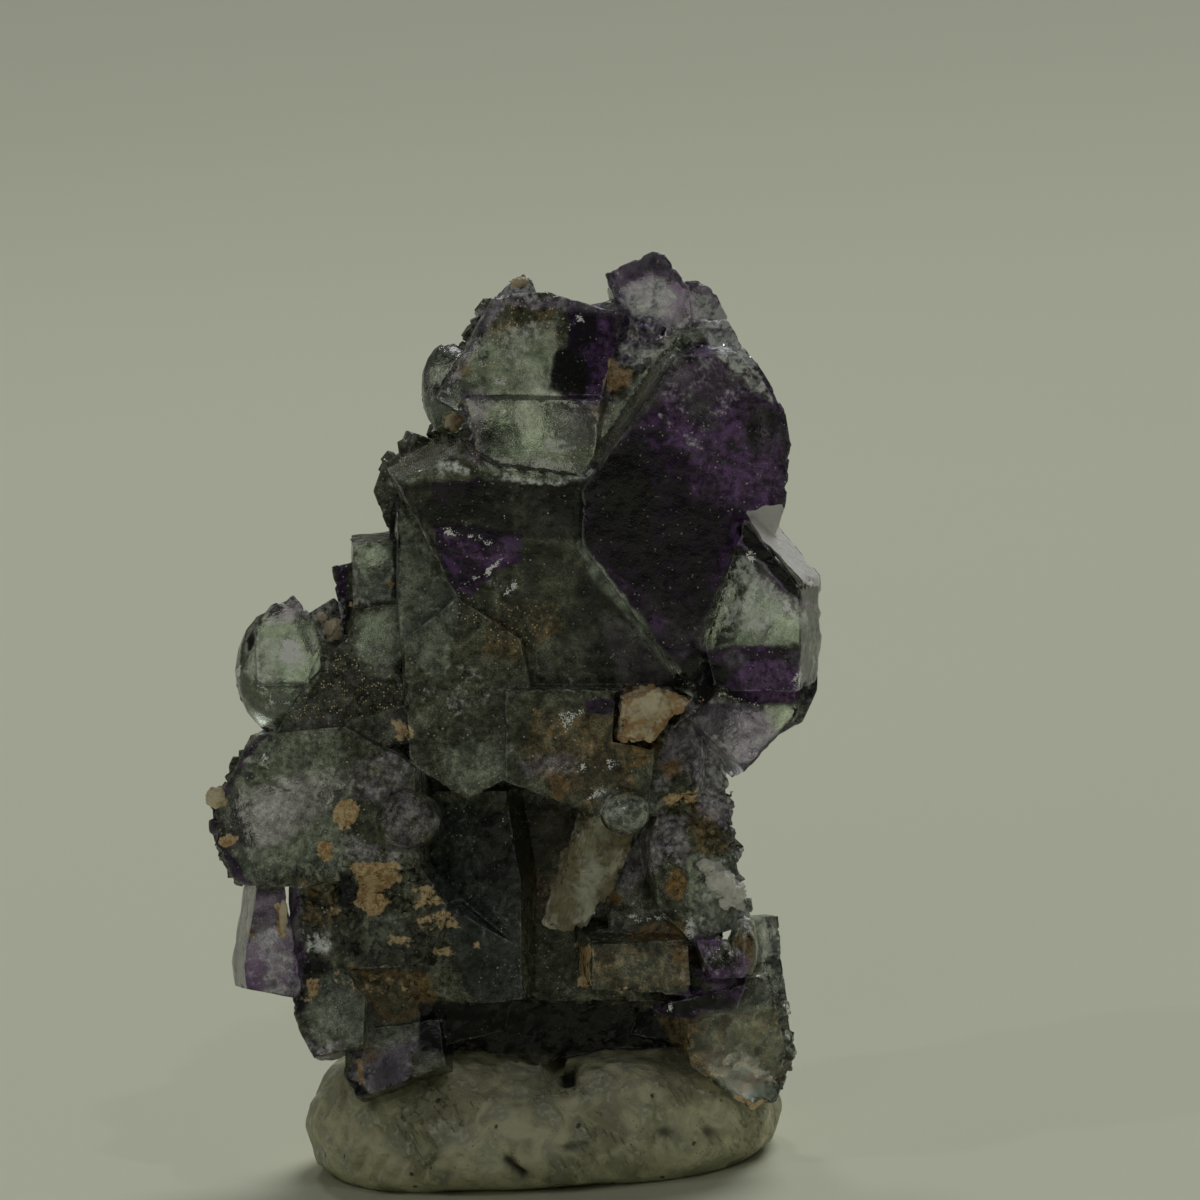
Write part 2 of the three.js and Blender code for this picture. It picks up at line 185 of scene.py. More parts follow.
def fluoriteFinish():
    finish = Finish("fluorite_finish")
    look = {
        "murky": (0.19, 0.195, 0.13), "murkyDeep": (0.030, 0.033, 0.020), "haze": (0.36, 0.36, 0.33),
        "green": (0.84, 0.93, 0.80), "greenDeep": (0.40, 0.48, 0.38),
        "lavender": (0.84, 0.78, 0.93), "lavenderDeep": (0.42, 0.34, 0.52), "violet": (0.19, 0.10, 0.26),
        "plum": (0.10, 0.04, 0.16), "purple": (0.024, 0.009, 0.036), "dark": (0.005, 0.004, 0.006),
        "rust": (0.42, 0.25, 0.09), "rustDeep": (0.13, 0.075, 0.03),
        "slate": (0.085, 0.095, 0.09), "slateDeep": (0.022, 0.027, 0.026),
        "pale": (0.76, 0.79, 0.79), "glint": (0.97, 0.97, 1.0), "tan": (0.74, 0.57, 0.34),
        "tanDeep": (0.40, 0.22, 0.08), "white": (0.66, 0.65, 0.64), "gold": (0.85, 0.68, 0.40),
        "absorption": (0.60, 0.64, 0.50),
    }
    density = 60         # of the absorption, for each metre of fluorite
    ior = {"crystal": 1.434, "stone": 1.5}
    transmission = {"murky": 0.2, "glass": 1.0}
    relief = {"crystal": 0.05, "stone": 0.1}         # mm of bump
    # how noise breaks each zone's border: where its step starts and ends, and how ragged it is
    borders = {
        "slate": (0.3, 0.7, 0.5), "green": (0.0, 1.0, 0.5), "lavender": (0.1, 1.0, 0.9),
        "rust": (0.25, 1.1, 0.9),
    }
    grain = finish.cloud(0.05, 1)
    fine = finish.cloud(0.2, 3)
    middle = finish.cloud(0.7, 4)
    swirl = finish.cloud(1.3, 5, twist=1.5)
    streak = finish.cloud(0.4, 4, finish.stretched((2.6, 0.35, 1.0), (10, 35, 20)), twist=0.6)
    rough = finish.channel("rough")

    def edged(name, low, high, ragged):
        # a channel whose border and middle are broken up by noise of two sizes
        raggedness = (fine - 0.5) * ragged + (middle - 0.5) * ragged
        return finish.step(finish.channel(name) + raggedness, low, high)

    # Clouds, streaks and specks inside the crystals
    tone = swirl * 0.55 + fine * 0.25 + streak * 0.2

    def toned(name, low=0.38, high=0.62):
        return finish.mixed(finish.step(tone, low, high), look[name + "Deep"], look[name])

    color = toned("murky", 0.36, 0.68)
    color = finish.mixed(finish.step(swirl + (grain - 0.5) * 0.5, 0.5, 0.8) * 0.4, color, look["haze"])
    for name, border in borders.items():
        color = finish.mixed(edged(name, *border), color, toned(name))
    plum = finish.step(middle * 0.5 + streak * 0.5, 0.47, 0.62)
    purple = finish.mixed(plum, look["purple"], look["plum"])
    lighter = finish.channel("lavender") * 0.5 + finish.channel("green") * 0.5
    color = finish.mixed(edged("purple", 0.3, 0.75, 0.7) * (1 - lighter), color, purple)
    glow = edged("violet", 0.1, 1.1, 0.9) * finish.step(streak * 0.5 + fine * 0.5, 0.3, 0.6)
    color = finish.mixed(glow, color, look["violet"])
    # dark: near-black zones of the crystal, and also painted shade where patches put it: in the hollow, the
    # gap, under the overhang and the mosaic, and the patches named shade
    color = finish.mixed(edged("dark", 0.25, 0.8, 0.7), color, look["dark"])
    # painted shade: darker along the inward creases, where shade falls
    groove = finish.channel("groove") * finish.step(middle, 0.35, 0.65)
    color = finish.mixed(groove * 0.6, color, look["dark"])
    # painted highlight: a pale line along the outward creases, where the edges catch the light
    edge = finish.step(finish.channel("edge") + (fine - 0.5) * 0.7 + (middle - 0.5) * 1.2, 0.6, 1.0)
    color = finish.mixed(edge * 0.16, color, look["pale"])
    # pale: whitish flaws in the crystal, and also painted highlights and reflections where the pale patches
    # stand for them: the windows, the bright patches and the bead's middle
    frost = edged("pale", 0.3, 1.0, 1.1) * finish.step(streak + fine, 0.7, 1.1)
    color = finish.mixed(frost, color, look["pale"])

    # Sugary grains on the rough places, each with its own tone
    grains = finish.shareOf(finish.cells(0.15, output="Color"), "Green")
    calm = 1 - finish.channel("clear") * 0.6
    mottle = (grain - 0.5) * calm * 1.7 + (streak - 0.5) * 0.9 + (fine - 0.5) * 0.7
    color = finish.scaled(color, 1 + (grains - 0.45) * rough * 1.4 + mottle)

    # Dark specks; bright specks and glints, which are painted highlights; and gold coloured dust
    uneven = (grain - 0.5) * 0.5 + (fine - 0.5) * 0.5
    specks = finish.step(finish.cells(0.19) + uneven, 0.2, 0.1)
    specks = specks * finish.step(finish.cloud(0.9, 2), 0.48, 0.6)
    color = finish.mixed(specks * 0.6, color, look["dark"])
    # bright specks: tiny painted highlights, for the sparkle of internal flakes
    bright = finish.step(finish.cells(0.17) + uneven, 0.16, 0.06)
    bright = bright * finish.step(finish.cloud(0.5, 2), 0.46, 0.6) * (1 - finish.channel("dark") * 0.8)
    color = finish.mixed(bright * 0.75, color, look["pale"])
    # glint: painted highlights, white and dull, where faces and internal flakes glint
    broken = (fine - 0.5) * 1.4 + (streak - 0.5) * 1.6 + (grain - 0.5) * 1.4
    glint = finish.step(finish.channel("glint") + broken, 0.75, 0.95)
    color = finish.mixed(glint, color, look["glint"])
    crust = edged("tan", 0.42, 0.6, 0.9)
    crustTone = finish.step(fine * 0.5 + middle * 0.3 + grain * 0.2, 0.42, 0.58)
    color = finish.mixed(crust, color, finish.mixed(crustTone, look["tanDeep"], look["tan"]))
    # white: real white crust, and on the banded cube's mirror face a painted reflection of a bright light
    whiteCrust = edged("white", 0.4, 0.55, 0.3) * (1 - edged("dark", 0.3, 0.6, 0.9))
    color = finish.mixed(whiteCrust, color, look["white"])
    present = finish.shareOf(finish.cells(0.075, output="Color"), "Red") + finish.channel("dust") * 0.45
    present = present + (middle - 0.5) * 0.6
    dust = finish.step(finish.cells(0.075), 0.45, 0.25) * finish.step(present, 1.02, 1.1)
    dustColor = finish.mixed(finish.step(finish.channel("dust"), 0.05, 0.3), look["pale"], look["gold"])
    color = finish.mixed(dust, color, dustColor)

    # On the rough places, cells tip the surface each way, so that some facets catch the light
    tilts = finish.cells(0.4, output="Color", place=finish.stretched((0.5, 1.0, 0.8), (-30, 40, 15)))
    tilt = finish.scaled(finish.vector("SUBTRACT", tilts, (0.5, 0.5, 0.5)), rough * 0.5 + 0.05)
    outward = finish.wire("ShaderNodeNewGeometry", None, None, "Normal")
    tipped = finish.vector("NORMALIZE", finish.vector("ADD", outward, tilt))
    height = fine * 0.5 + grain * 0.15 + streak * 0.4 + middle * 0.5
    normal = finish.bump(height, relief["crystal"], 0.8, tipped)
    clear = finish.step(finish.channel("clear") + (middle - 0.5) * 0.5, 0.1, 0.8)
    roughness = finish.step(middle, 0.25, 0.75) * 0.16 + rough * 0.2 + 0.05
    murky, glass = [finish.surface({
        "Base Color": color, "Roughness": roughness, "IOR": ior["crystal"],
        "Transmission Weight": transmission[kind], "Normal": normal,
    }) for kind in ("murky", "glass")]
    stone = finish.surface({
        "Base Color": color, "Roughness": 0.6, "IOR": ior["stone"],
        "Normal": finish.bump(height, relief["stone"]),
    })
    crystal = finish.blend(clear, murky, glass)
    crystalline = (1 - crust) * (1 - whiteCrust) * (1 - dust) * (1 - glint)
    dull = 1 - crystalline * (1 - frost * 0.55) * (1 - bright * 0.5)
    volume = finish.wire("ShaderNodeVolumeAbsorption", None, {
        "Color": (*look["absorption"], 1), "Density": density,
    })
    return finish.done(finish.blend(dull, crystal, stone), volume)


def stoneFinish(name, light, dark, stain, fibres=None):
    finish = Finish(name)
    fine = finish.cloud(0.12, 5, finish.stretched(*fibres) if fibres else None)
    broad = finish.cloud(0.84, 4)
    color = finish.mixed(finish.step(broad, 0.35, 0.65), light, dark)
    blotch = finish.step(finish.channel("rim") * 0.25 + broad + (fine - 0.5) * 0.5, 0.56, 0.74)
    color = finish.mixed(blotch * 0.8, color, stain)
    return finish.done(finish.surface({
        "Base Color": color, "Roughness": 0.7, "IOR": 1.5,
        "Normal": finish.bump(fine + broad * 0.6, 0.1),
    }))


def puttyFinish():
    finish = Finish("putty_finish")
    look = {
        "light": (0.70, 0.67, 0.46), "shade": (0.33, 0.315, 0.20), "pale": (0.84, 0.82, 0.66),
        "grey": (0.46, 0.47, 0.40), "speck": (0.04, 0.04, 0.03),
    }
    fine = finish.cloud(0.22, 3)
    middle = finish.cloud(0.9, 4, twist=0.8)
    broad = finish.cloud(2.6, 3)
    scrape = finish.cloud(0.35, 4, finish.stretched((0.45, 1, 2.2), (0, -28, 0)))
    color = finish.mixed(finish.step(broad + (middle - 0.5) * 0.8, 0.35, 0.65), look["light"], look["shade"])
    color = finish.mixed(finish.step(middle, 0.5, 0.66) * 0.5, color, look["grey"])
    color = finish.mixed(finish.step(fine * 0.6 + middle * 0.5, 0.6, 0.72) * 0.5, color, look["pale"])
    scraped = finish.step(broad, 0.5, 0.6) * finish.step(scrape, 0.56, 0.66)
    color = finish.mixed(scraped * 0.4, color, look["shade"])
    specks = finish.step(finish.cells(0.16), 0.2, 0.1) * finish.step(finish.cloud(1.1, 2), 0.46, 0.58)
    flecks = finish.step(finish.cells(0.9) + (fine - 0.5) * 0.2, 0.12, 0.06)
    color = finish.mixed(1 - (1 - specks * 0.7) * (1 - flecks * 0.85), color, look["speck"])
    # painted shade from the dark marks, in the pits, slits, crease line and scratches
    color = finish.mixed(finish.channel("dark"), color, look["speck"])
    height = fine * 0.3 + middle * 0.9 - scraped * 0.35 - flecks * 0.3
    return finish.done(finish.surface({
        "Base Color": color, "Roughness": finish.step(fine, 0.2, 0.8) * 0.2 + 0.45, "IOR": 1.45,
        "Normal": finish.bump(height, 0.2),
    }))


# Painting: each named patch is a channel, how strong it is, and its place in the photograph, in
# pixels. That is an outline, or a width and the points of a line, or a spot: its middle, its half
# sizes and its turn in degrees.
# Patches in the glint channel are painted highlights: the flakes, flecks, white streaks, seams, arcs and
# sparkles there are where light glints.
outlines = {
    "chip": [(596, 788), (650, 800), (645, 828), (620, 832), (600, 815)],
    "slate prism": [(432, 800), (522, 815), (522, 1000), (470, 1000), (432, 900)],
    "window block": [(592, 945), (690, 942), (690, 990), (592, 992)],
}
topPaint = {
    "left cube, murky middle": ("green", 0.6, [(452, 340), (556, 318), (556, 396), (450, 392)]),
    "left cube, tan mottling": ("rust", 0.45,
        [(492, 302), (556, 302), (558, 345), (500, 352), (480, 330)]),
    "left cube, dust": ("dust", 0.6, [(492, 298), (560, 300), (560, 360), (480, 372)]),
    "left cube, top strip": ("lavender", 0.75, [(494, 290), (625, 306), (622, 316), (494, 304)]),
    "left cube, purple band": ("purple", 1.2,
        [(566, 300), (630, 312), (603, 408), (560, 400), (566, 352)]),
    "left cube, black heart": ("dark", 0.6, [(572, 302), (600, 308), (592, 352), (566, 348)]),
    "left cube, black root": ("dark", 0.85, [(556, 348), (586, 352), (590, 398), (545, 390)]),
    "left cube, left strip": ("lavender", 0.9, 14, [(494, 306), (470, 350), (446, 392)]),
    "left cube, purple corner": ("purple", 0.8, 4, [(446, 380), (452, 392), (480, 402), (520, 400)]),
    "left cube, orange patch": ("rust", 0.8, 466, 371, 9, 9, 0),
    "left cube, upper flaws": ("pale", 0.6, [(498, 330), (536, 318), (546, 352), (510, 362)]),
    "left cube, flake": ("glint", 0.9, 485, 362, 7, 5, 30),
    "left cube, low flake": ("glint", 0.85, 497, 381, 9, 4, 0),
    "left cube, striation": ("pale", 0.7, 4, [(500, 362), (524, 366)]),
    "left cube, band fleck": ("glint", 0.9, 578, 318, 5, 4, 0),
    "left cube, small band fleck": ("glint", 0.9, 567, 326, 4, 3, 0),
    "left cube, violet edge": ("violet", 0.9, 5, [(630, 314), (622, 350), (606, 404)]),
    "left cube, violet cloud": ("violet", 0.5,
        [(596, 310), (626, 316), (606, 400), (590, 396), (598, 350)]),
    "peak, violet crown": ("violet", 1.0,
        [(603, 270), (640, 252), (664, 252), (676, 272), (650, 284), (618, 290)]),
    "peak, bright flaws": ("pale", 0.75, [(622, 288), (660, 276), (682, 300), (660, 322), (632, 318)]),
    "peak, violet side": ("violet", 0.9, [(664, 254), (690, 290), (684, 318), (670, 296)]),
    "peak, glint": ("glint", 1.0, 649, 303, 5, 5, 0),
    "nub": ("pale", 0.7, 522, 286, 24, 12, 0),
    "nub, tan": ("tan", 0.6, 518, 282, 9, 6, 0),
    "peak, lavender": ("lavender", 1.1, [(603, 270), (660, 248), (692, 292), (690, 325), (630, 320)]),
    "peak, purple crown": ("purple", 0.3, [(603, 272), (656, 250), (672, 262), (680, 292), (620, 296)]),
    "peak, left edge": ("purple", 1.0, 5, [(605, 274), (622, 302)]),
    "peak, right edge": ("purple", 1.0, 6, [(663, 255), (690, 292), (680, 320)]),
    "peak, clear foot": ("pale", 1.0, 650, 305, 20, 14, 0),
    "peak, rear": ("lavender", 0.8, [(688, 278), (712, 286), (732, 322), (690, 330)]),
    "peak, rear frost": ("pale", 1.0, [(694, 292), (716, 298), (740, 330), (700, 330)]),
    "peak, white spot": ("white", 0.9, 724, 315, 9, 9, 0),
    "saddle, lavender": ("lavender", 0.8, [(622, 312), (690, 320), (662, 350), (640, 372), (616, 358)]),
    "saddle, frost": ("pale", 1.0, 9, [(622, 352), (650, 345), (680, 332), (720, 322)]),
    "saddle, frost below": ("pale", 0.9, 7, [(618, 366), (640, 358), (668, 342)]),
    "amber": ("rust", 0.6, [(608, 352), (632, 370), (628, 390), (606, 396), (602, 374)]),
    "amber, opaque": ("tan", 1.0, [(610, 358), (630, 370), (627, 386), (610, 390)]),
    "crust edge": ("pale", 1.2, [(700, 332), (742, 330), (772, 404), (752, 392), (722, 356)]),
    "crust, lavender": ("lavender", 0.9, [(696, 326), (742, 326), (776, 404), (750, 396), (716, 356)]),
    "purple ring": ("violet", 1.0, 4, [(722, 352), (730, 345), (735, 360), (725, 368), (722, 352)]),
    "white triangle": ("pale", 1.0, [(746, 386), (758, 378), (752, 396)]),
    "middle crystal, green": ("green", 0.8, [(492, 388), (548, 386), (600, 420), (590, 484), (480, 470)]),
    "middle crystal, left strip": ("lavender", 0.75, [(463, 396), (496, 392), (486, 462), (462, 455)]),
    "middle crystal, left dust": ("dust", 0.7, [(462, 400), (492, 396), (480, 458), (462, 452)]),
    "middle crystal, purple line": ("purple", 1.0, 4, [(476, 465), (492, 440), (500, 410)]),
    # painted reflection: the window is where this face reflects the light
    "middle crystal, window": ("pale", 1.2, [(543, 441), (560, 438), (575, 445), (560, 452), (546, 450)]),
    "middle crystal, glint": ("glint", 1.0, 505, 411, 4, 4, 0),
    "middle crystal, low lavender": ("lavender", 0.8, 9, [(476, 462), (540, 466), (580, 462)]),
    "middle crystal, chipped rim": ("pale", 1.2, 5, [(497, 473), (522, 480), (560, 482), (592, 472)]),
    "middle crystal, right lavender": ("lavender", 0.6, [(548, 392), (606, 404), (600, 450), (556, 440)]),
    "middle crystal, rust": ("rust", 0.6, 602, 412, 12, 18, 0),
    "middle crystal, low dust": ("dust", 0.5, [(556, 448), (606, 440), (592, 480), (560, 466)]),
    "back lobe": ("green", 0.7, [(420, 345), (462, 330), (462, 430), (420, 425)]),
    "back lobe, pale": ("pale", 0.35, [(420, 380), (440, 380), (440, 425), (420, 425)]),
}

rightPaint = {
    "big cube, purple": ("purple", 0.95,
        [(690, 340), (742, 346), (794, 410), (792, 510), (745, 528), (708, 708), (585, 545), (582, 470),
         (640, 400)]),
    "big cube, dark": ("dark", 0.62,
        [(640, 425), (672, 470), (735, 520), (712, 600), (690, 640), (585, 545), (582, 470)]),
    "big cube, darkest": ("dark", 0.8, [(590, 470), (640, 440), (660, 500), (640, 545), (592, 540)]),
    "big cube, dark tip": ("dark", 0.9, [(690, 640), (728, 672), (708, 708), (672, 680)]),
    "big cube, lavender corner": ("lavender", 0.6, [(660, 372), (700, 352), (758, 385), (700, 410)]),
    "big cube, grey patch": ("green", 0.5, 700, 412, 24, 11, 35),
    "big cube, grey right patch": ("green", 0.45, 762, 428, 14, 20, 30),
    "big cube, streak": ("pale", 0.7, 4, [(655, 412), (675, 425), (702, 448)]),
    "big cube, second streak": ("pale", 0.7, 4, [(698, 392), (714, 402), (728, 392)]),
    "big cube, frost": ("pale", 0.42, [(650, 398), (700, 352), (740, 356), (760, 392), (705, 432)]),
    "big cube, crease": ("lavender", 0.7, 4, [(690, 452), (730, 462), (782, 474)]),
    "big cube, right window": ("lavender", 0.5, [(745, 400), (788, 415), (788, 470), (750, 455)]),
    "big cube, low grey window": ("green", 0.36, [(642, 588), (668, 584), (664, 612), (645, 612)]),
    "big cube, low grey face": ("green", 0.3, [(660, 612), (712, 590), (704, 650), (672, 660)]),
    "big cube, right edge": ("green", 0.6, 5, [(786, 420), (787, 505)]),
    "big cube, left edge": ("green", 0.9, 12,
        [(583, 545), (606, 585), (640, 622), (675, 668), (706, 706)]),
    "big cube, left edge dust": ("dust", 0.5, 8, [(640, 622), (675, 668), (706, 706)]),
    "big cube, upper haze": ("violet", 0.65,
        [(650, 396), (700, 348), (745, 350), (792, 410), (792, 500), (700, 470)]),
    "big cube, right haze": ("violet", 0.5, [(690, 470), (790, 480), (786, 515), (740, 528), (715, 600)]),
    "big cube, violet rim": ("violet", 0.85, 6, [(647, 396), (672, 372), (700, 358), (742, 362)]),
    "big cube, violet cloud": ("violet", 0.9, 752, 480, 30, 18, 20),
    "big cube, left violet cloud": ("violet", 0.8, 688, 436, 22, 12, 30),
    "big cube, low violet cloud": ("violet", 0.45, 742, 520, 30, 12, 40),
    "big cube, violet edge": ("violet", 0.7, 7, [(778, 408), (790, 460), (786, 505)]),
    "bevel": ("green", 0.6,
        [(672, 326), (702, 334), (655, 400), (600, 470), (582, 455), (605, 415), (640, 372)]),
    "bevel, dust": ("dust", 0.95,
        [(672, 326), (695, 332), (640, 396), (600, 462), (585, 450), (605, 412), (640, 370)]),
    # painted reflection: the mirror face is white where it reflects a bright light
    "banded cube, mirror face": ("white", 1.1,
        [(745, 512), (785, 501), (802, 540), (828, 580), (820, 590), (800, 576), (772, 553)]),
    "banded cube, specks": ("dark", 1.0, [(786, 508), (800, 524), (802, 548), (788, 534)]),
    "banded cube, black band": ("dark", 1.3, 13, [(743, 528), (760, 553), (794, 591), (826, 598)]),
    "banded cube, band fringe": ("violet", 1.1, 26, [(741, 534), (757, 559), (790, 597), (826, 604)]),
    "banded cube, green face": ("green", 1.0,
        [(735, 545), (748, 548), (795, 606), (826, 606), (818, 645), (760, 642), (700, 648), (702, 620),
         (722, 585)]),
    # painted reflections: the bright patch and the bright window are where these faces reflect the light
    "banded cube, bright patch": ("pale", 1.0, 750, 572, 7, 15, -30),
    "banded cube, bright window": ("pale", 1.0, 786, 608, 24, 8, 35),
    "banded cube, crack": ("dark", 0.9, 3, [(714, 630), (728, 634), (745, 631)]),
    "banded cube, purple band": ("purple", 1.0,
        [(706, 655), (735, 644), (770, 646), (812, 652), (808, 704), (790, 708), (744, 702), (716, 684)]),
    "banded cube, purple heart": ("dark", 0.3, [(742, 656), (780, 660), (795, 700), (748, 696)]),
    "banded cube, violet in the band": ("violet", 0.9,
        [(728, 668), (765, 658), (806, 668), (800, 702), (748, 700)]),
    "banded cube, window glint": ("glint", 0.9, 788, 610, 12, 4, 35),
    "banded cube, patch glint": ("glint", 0.9, 751, 556, 4, 8, -30),
    "banded cube, window in the band": ("lavender", 0.6, 790, 660, 14, 8, 0),
    "banded cube, left window": ("lavender", 0.7, 735, 660, 12, 9, 0),
    "banded cube, white seam": ("glint", 1.0, 4, [(720, 692), (738, 695), (760, 706)]),
    "banded cube, right glint": ("glint", 0.9, 797, 679, 5, 8, 0),
    "tip": ("lavender", 0.9, [(684, 704), (712, 695), (762, 708), (780, 738), (745, 772), (700, 738)]),
    "tip, dark edge": ("purple", 0.8, 4, [(690, 716), (745, 771), (776, 738)]),
    "tip, purple mark": ("purple", 0.8, 728, 706, 8, 3, 30),
    "tip, second mark": ("purple", 0.8, 754, 723, 9, 3, 20),
    "tip, clear shoulder": ("green", 0.9, [(762, 704), (800, 700), (800, 730), (775, 742)]),
    "banded cube, side": ("green", 1.0, 16, [(826, 596), (830, 640), (822, 700)]),
    "banded cube, pale window": ("pale", 0.8,
        [(722, 590), (745, 560), (790, 600), (780, 634), (720, 628)]),
    "banded cube, rust flecks": ("rust", 0.8, 736, 596, 5, 4, 0),
    "shoulder lumps": ("green", 0.9, [(804, 650), (822, 655), (820, 695), (804, 700)]),
    "shoulder lumps, frost": ("pale", 0.6, [(808, 655), (818, 655), (816, 690), (808, 690)]),
}

centrePaint = {
    "roof, dust": ("dust", 0.85, [(380, 470), (440, 434), (466, 428), (468, 444), (408, 478)]),
    "roof, grey": ("green", 0.5, [(380, 470), (466, 428), (470, 450), (405, 482)]),
    "roof, slot": ("dark", 1.0, 4, [(440, 450), (457, 441)]),
    "roof, white streaks": ("pale", 0.95, [(432, 462), (456, 455), (470, 474), (440, 478)]),
    "roof, black streak": ("dark", 0.9, 4, [(446, 462), (456, 472), (470, 468)]),
    "top band": ("dark", 0.62, [(400, 480), (590, 478), (592, 545), (520, 540), (425, 530)]),
    "top band, purple": ("purple", 1.1, [(430, 482), (482, 480), (472, 502), (436, 510)]),
    "top band, black green": ("dark", 0.75, [(448, 492), (500, 488), (496, 522), (450, 524)]),
    "streaks, purple": ("purple", 1.2,
        [(430, 524), (520, 530), (520, 562), (492, 568), (470, 594), (450, 586)]),
    "streaks, violet below": ("violet", 0.8, 9, [(446, 536), (466, 548), (486, 556), (500, 562)]),
    "streaks, first glint": ("glint", 1.15, 5, [(440, 527), (452, 533), (462, 536)]),
    "streaks, second glint": ("glint", 1.15, 6, [(470, 537), (490, 541)]),
    "streaks, long white": ("glint", 1.2, 5, [(468, 578), (484, 570), (500, 558)]),
    "streaks, low white": ("glint", 1.1, 4, [(455, 585), (466, 578)]),
    "streaks, blue white": ("glint", 1.2, 5, [(503, 597), (511, 582)]),
    "streaks, violet": ("violet", 1.0, 504, 552, 14, 8, -15),
    "face, gold stain": ("rust", 0.5,
        [(505, 600), (560, 600), (566, 632), (520, 655), (484, 648), (480, 625)]),
    "face, brown": ("rust", 0.6, 505, 648, 24, 12, 0),
    "face, gold dust": ("dust", 0.5, [(458, 590), (500, 600), (560, 610), (540, 650), (470, 640)]),
    "face, right shade": ("dark", 0.55, [(585, 545), (620, 590), (690, 690), (600, 690), (560, 640)]),
    "face, upper shade": ("dark", 0.4, [(500, 540), (590, 545), (600, 600), (520, 600)]),
    "face, grey right": ("lavender", 0.45, [(600, 610), (640, 625), (680, 680), (615, 690)]),
    "face, lavender middle": ("lavender", 0.25, [(520, 495), (585, 490), (585, 540), (530, 535)]),
    "left face": ("green", 0.3, [(398, 505), (420, 530), (462, 605), (445, 690), (400, 650)]),
    "left face, shade": ("dark", 0.35, [(400, 520), (450, 590), (445, 690), (400, 660)]),
    "left face, black strip": ("dark", 1.2, 9, [(395, 502), (395, 594)]),
    "left face, pale line": ("pale", 0.6, 3, [(414, 592), (432, 608), (452, 600)]),
    "left face, crack": ("pale", 0.5, 3, [(405, 635), (425, 648), (440, 660)]),
    "left corner, pale line": ("pale", 0.8, 5, [(388, 482), (398, 494), (406, 508)]),
    "left corner, black lines": ("dark", 0.8, 5, [(397, 480), (420, 520), (450, 575), (460, 595)]),
    "block, frost": ("pale", 0.35, [(420, 665), (475, 660), (500, 690), (470, 720), (420, 715)]),
    "block, upper ledge": ("pale", 0.6, 3, [(508, 690), (560, 689), (625, 690)]),
    "block, brown": ("rust", 0.55,
        [(525, 705), (640, 715), (640, 790), (600, 815), (545, 790), (520, 760)]),
    "block, ochre": ("rust", 1.0, 558, 788, 9, 14, 0),
    "block, pink": ("lavender", 0.5, 552, 765, 28, 12, 0),
    "chip, glint": ("glint", 0.9, 4, [(602, 792), (618, 800), (626, 812)]),
    "chip, clear": ("green", 0.7, outlines["chip"]),
    "block, white triangle": ("glint", 1.0, [(558, 712), (584, 707), (566, 729)]),
    "chip, yellow": ("rust", 0.4, outlines["chip"]),
    "block, purple bar": ("purple", 1.0, [(584, 698), (629, 696), (629, 713), (584, 712)]),
    "block, dark bar": ("dark", 0.6, [(598, 699), (627, 698), (627, 711), (600, 711)]),
    "block, fleck": ("glint", 0.9, 585, 766, 6, 4, 20),
    "block, right fleck": ("glint", 0.9, 615, 766, 5, 6, 0),
    "block, low fleck": ("glint", 0.9, 597, 794, 8, 4, -30),
    "beside the wedge": ("rust", 0.95, [(618, 682), (668, 680), (680, 700), (640, 698), (628, 712)]),
    "beneath the wedge": ("rust", 0.8, [(624, 736), (662, 736), (655, 762), (628, 772)]),
    "chip": ("pale", 0.55, outlines["chip"]),
    "facet, left": ("tan", 0.6, [(388, 718), (406, 722), (411, 745), (398, 740)]),
    "facet, right": ("tan", 0.6, [(658, 796), (700, 790), (702, 804), (664, 810)]),
    "facet, orange": ("rust", 0.9, [(655, 765), (682, 756), (684, 780), (664, 786)]),
    "block, right grey": ("lavender", 0.5, [(665, 725), (700, 712), (722, 735), (680, 780), (650, 800)]),
    # painted shade in the hollow
    "hollow": ("dark", 0.5, [(475, 790), (580, 800), (570, 830), (520, 900), (480, 880)]),
    "hollow, brown": ("rust", 0.45, [(520, 800), (590, 810), (560, 905), (530, 920)]),
}

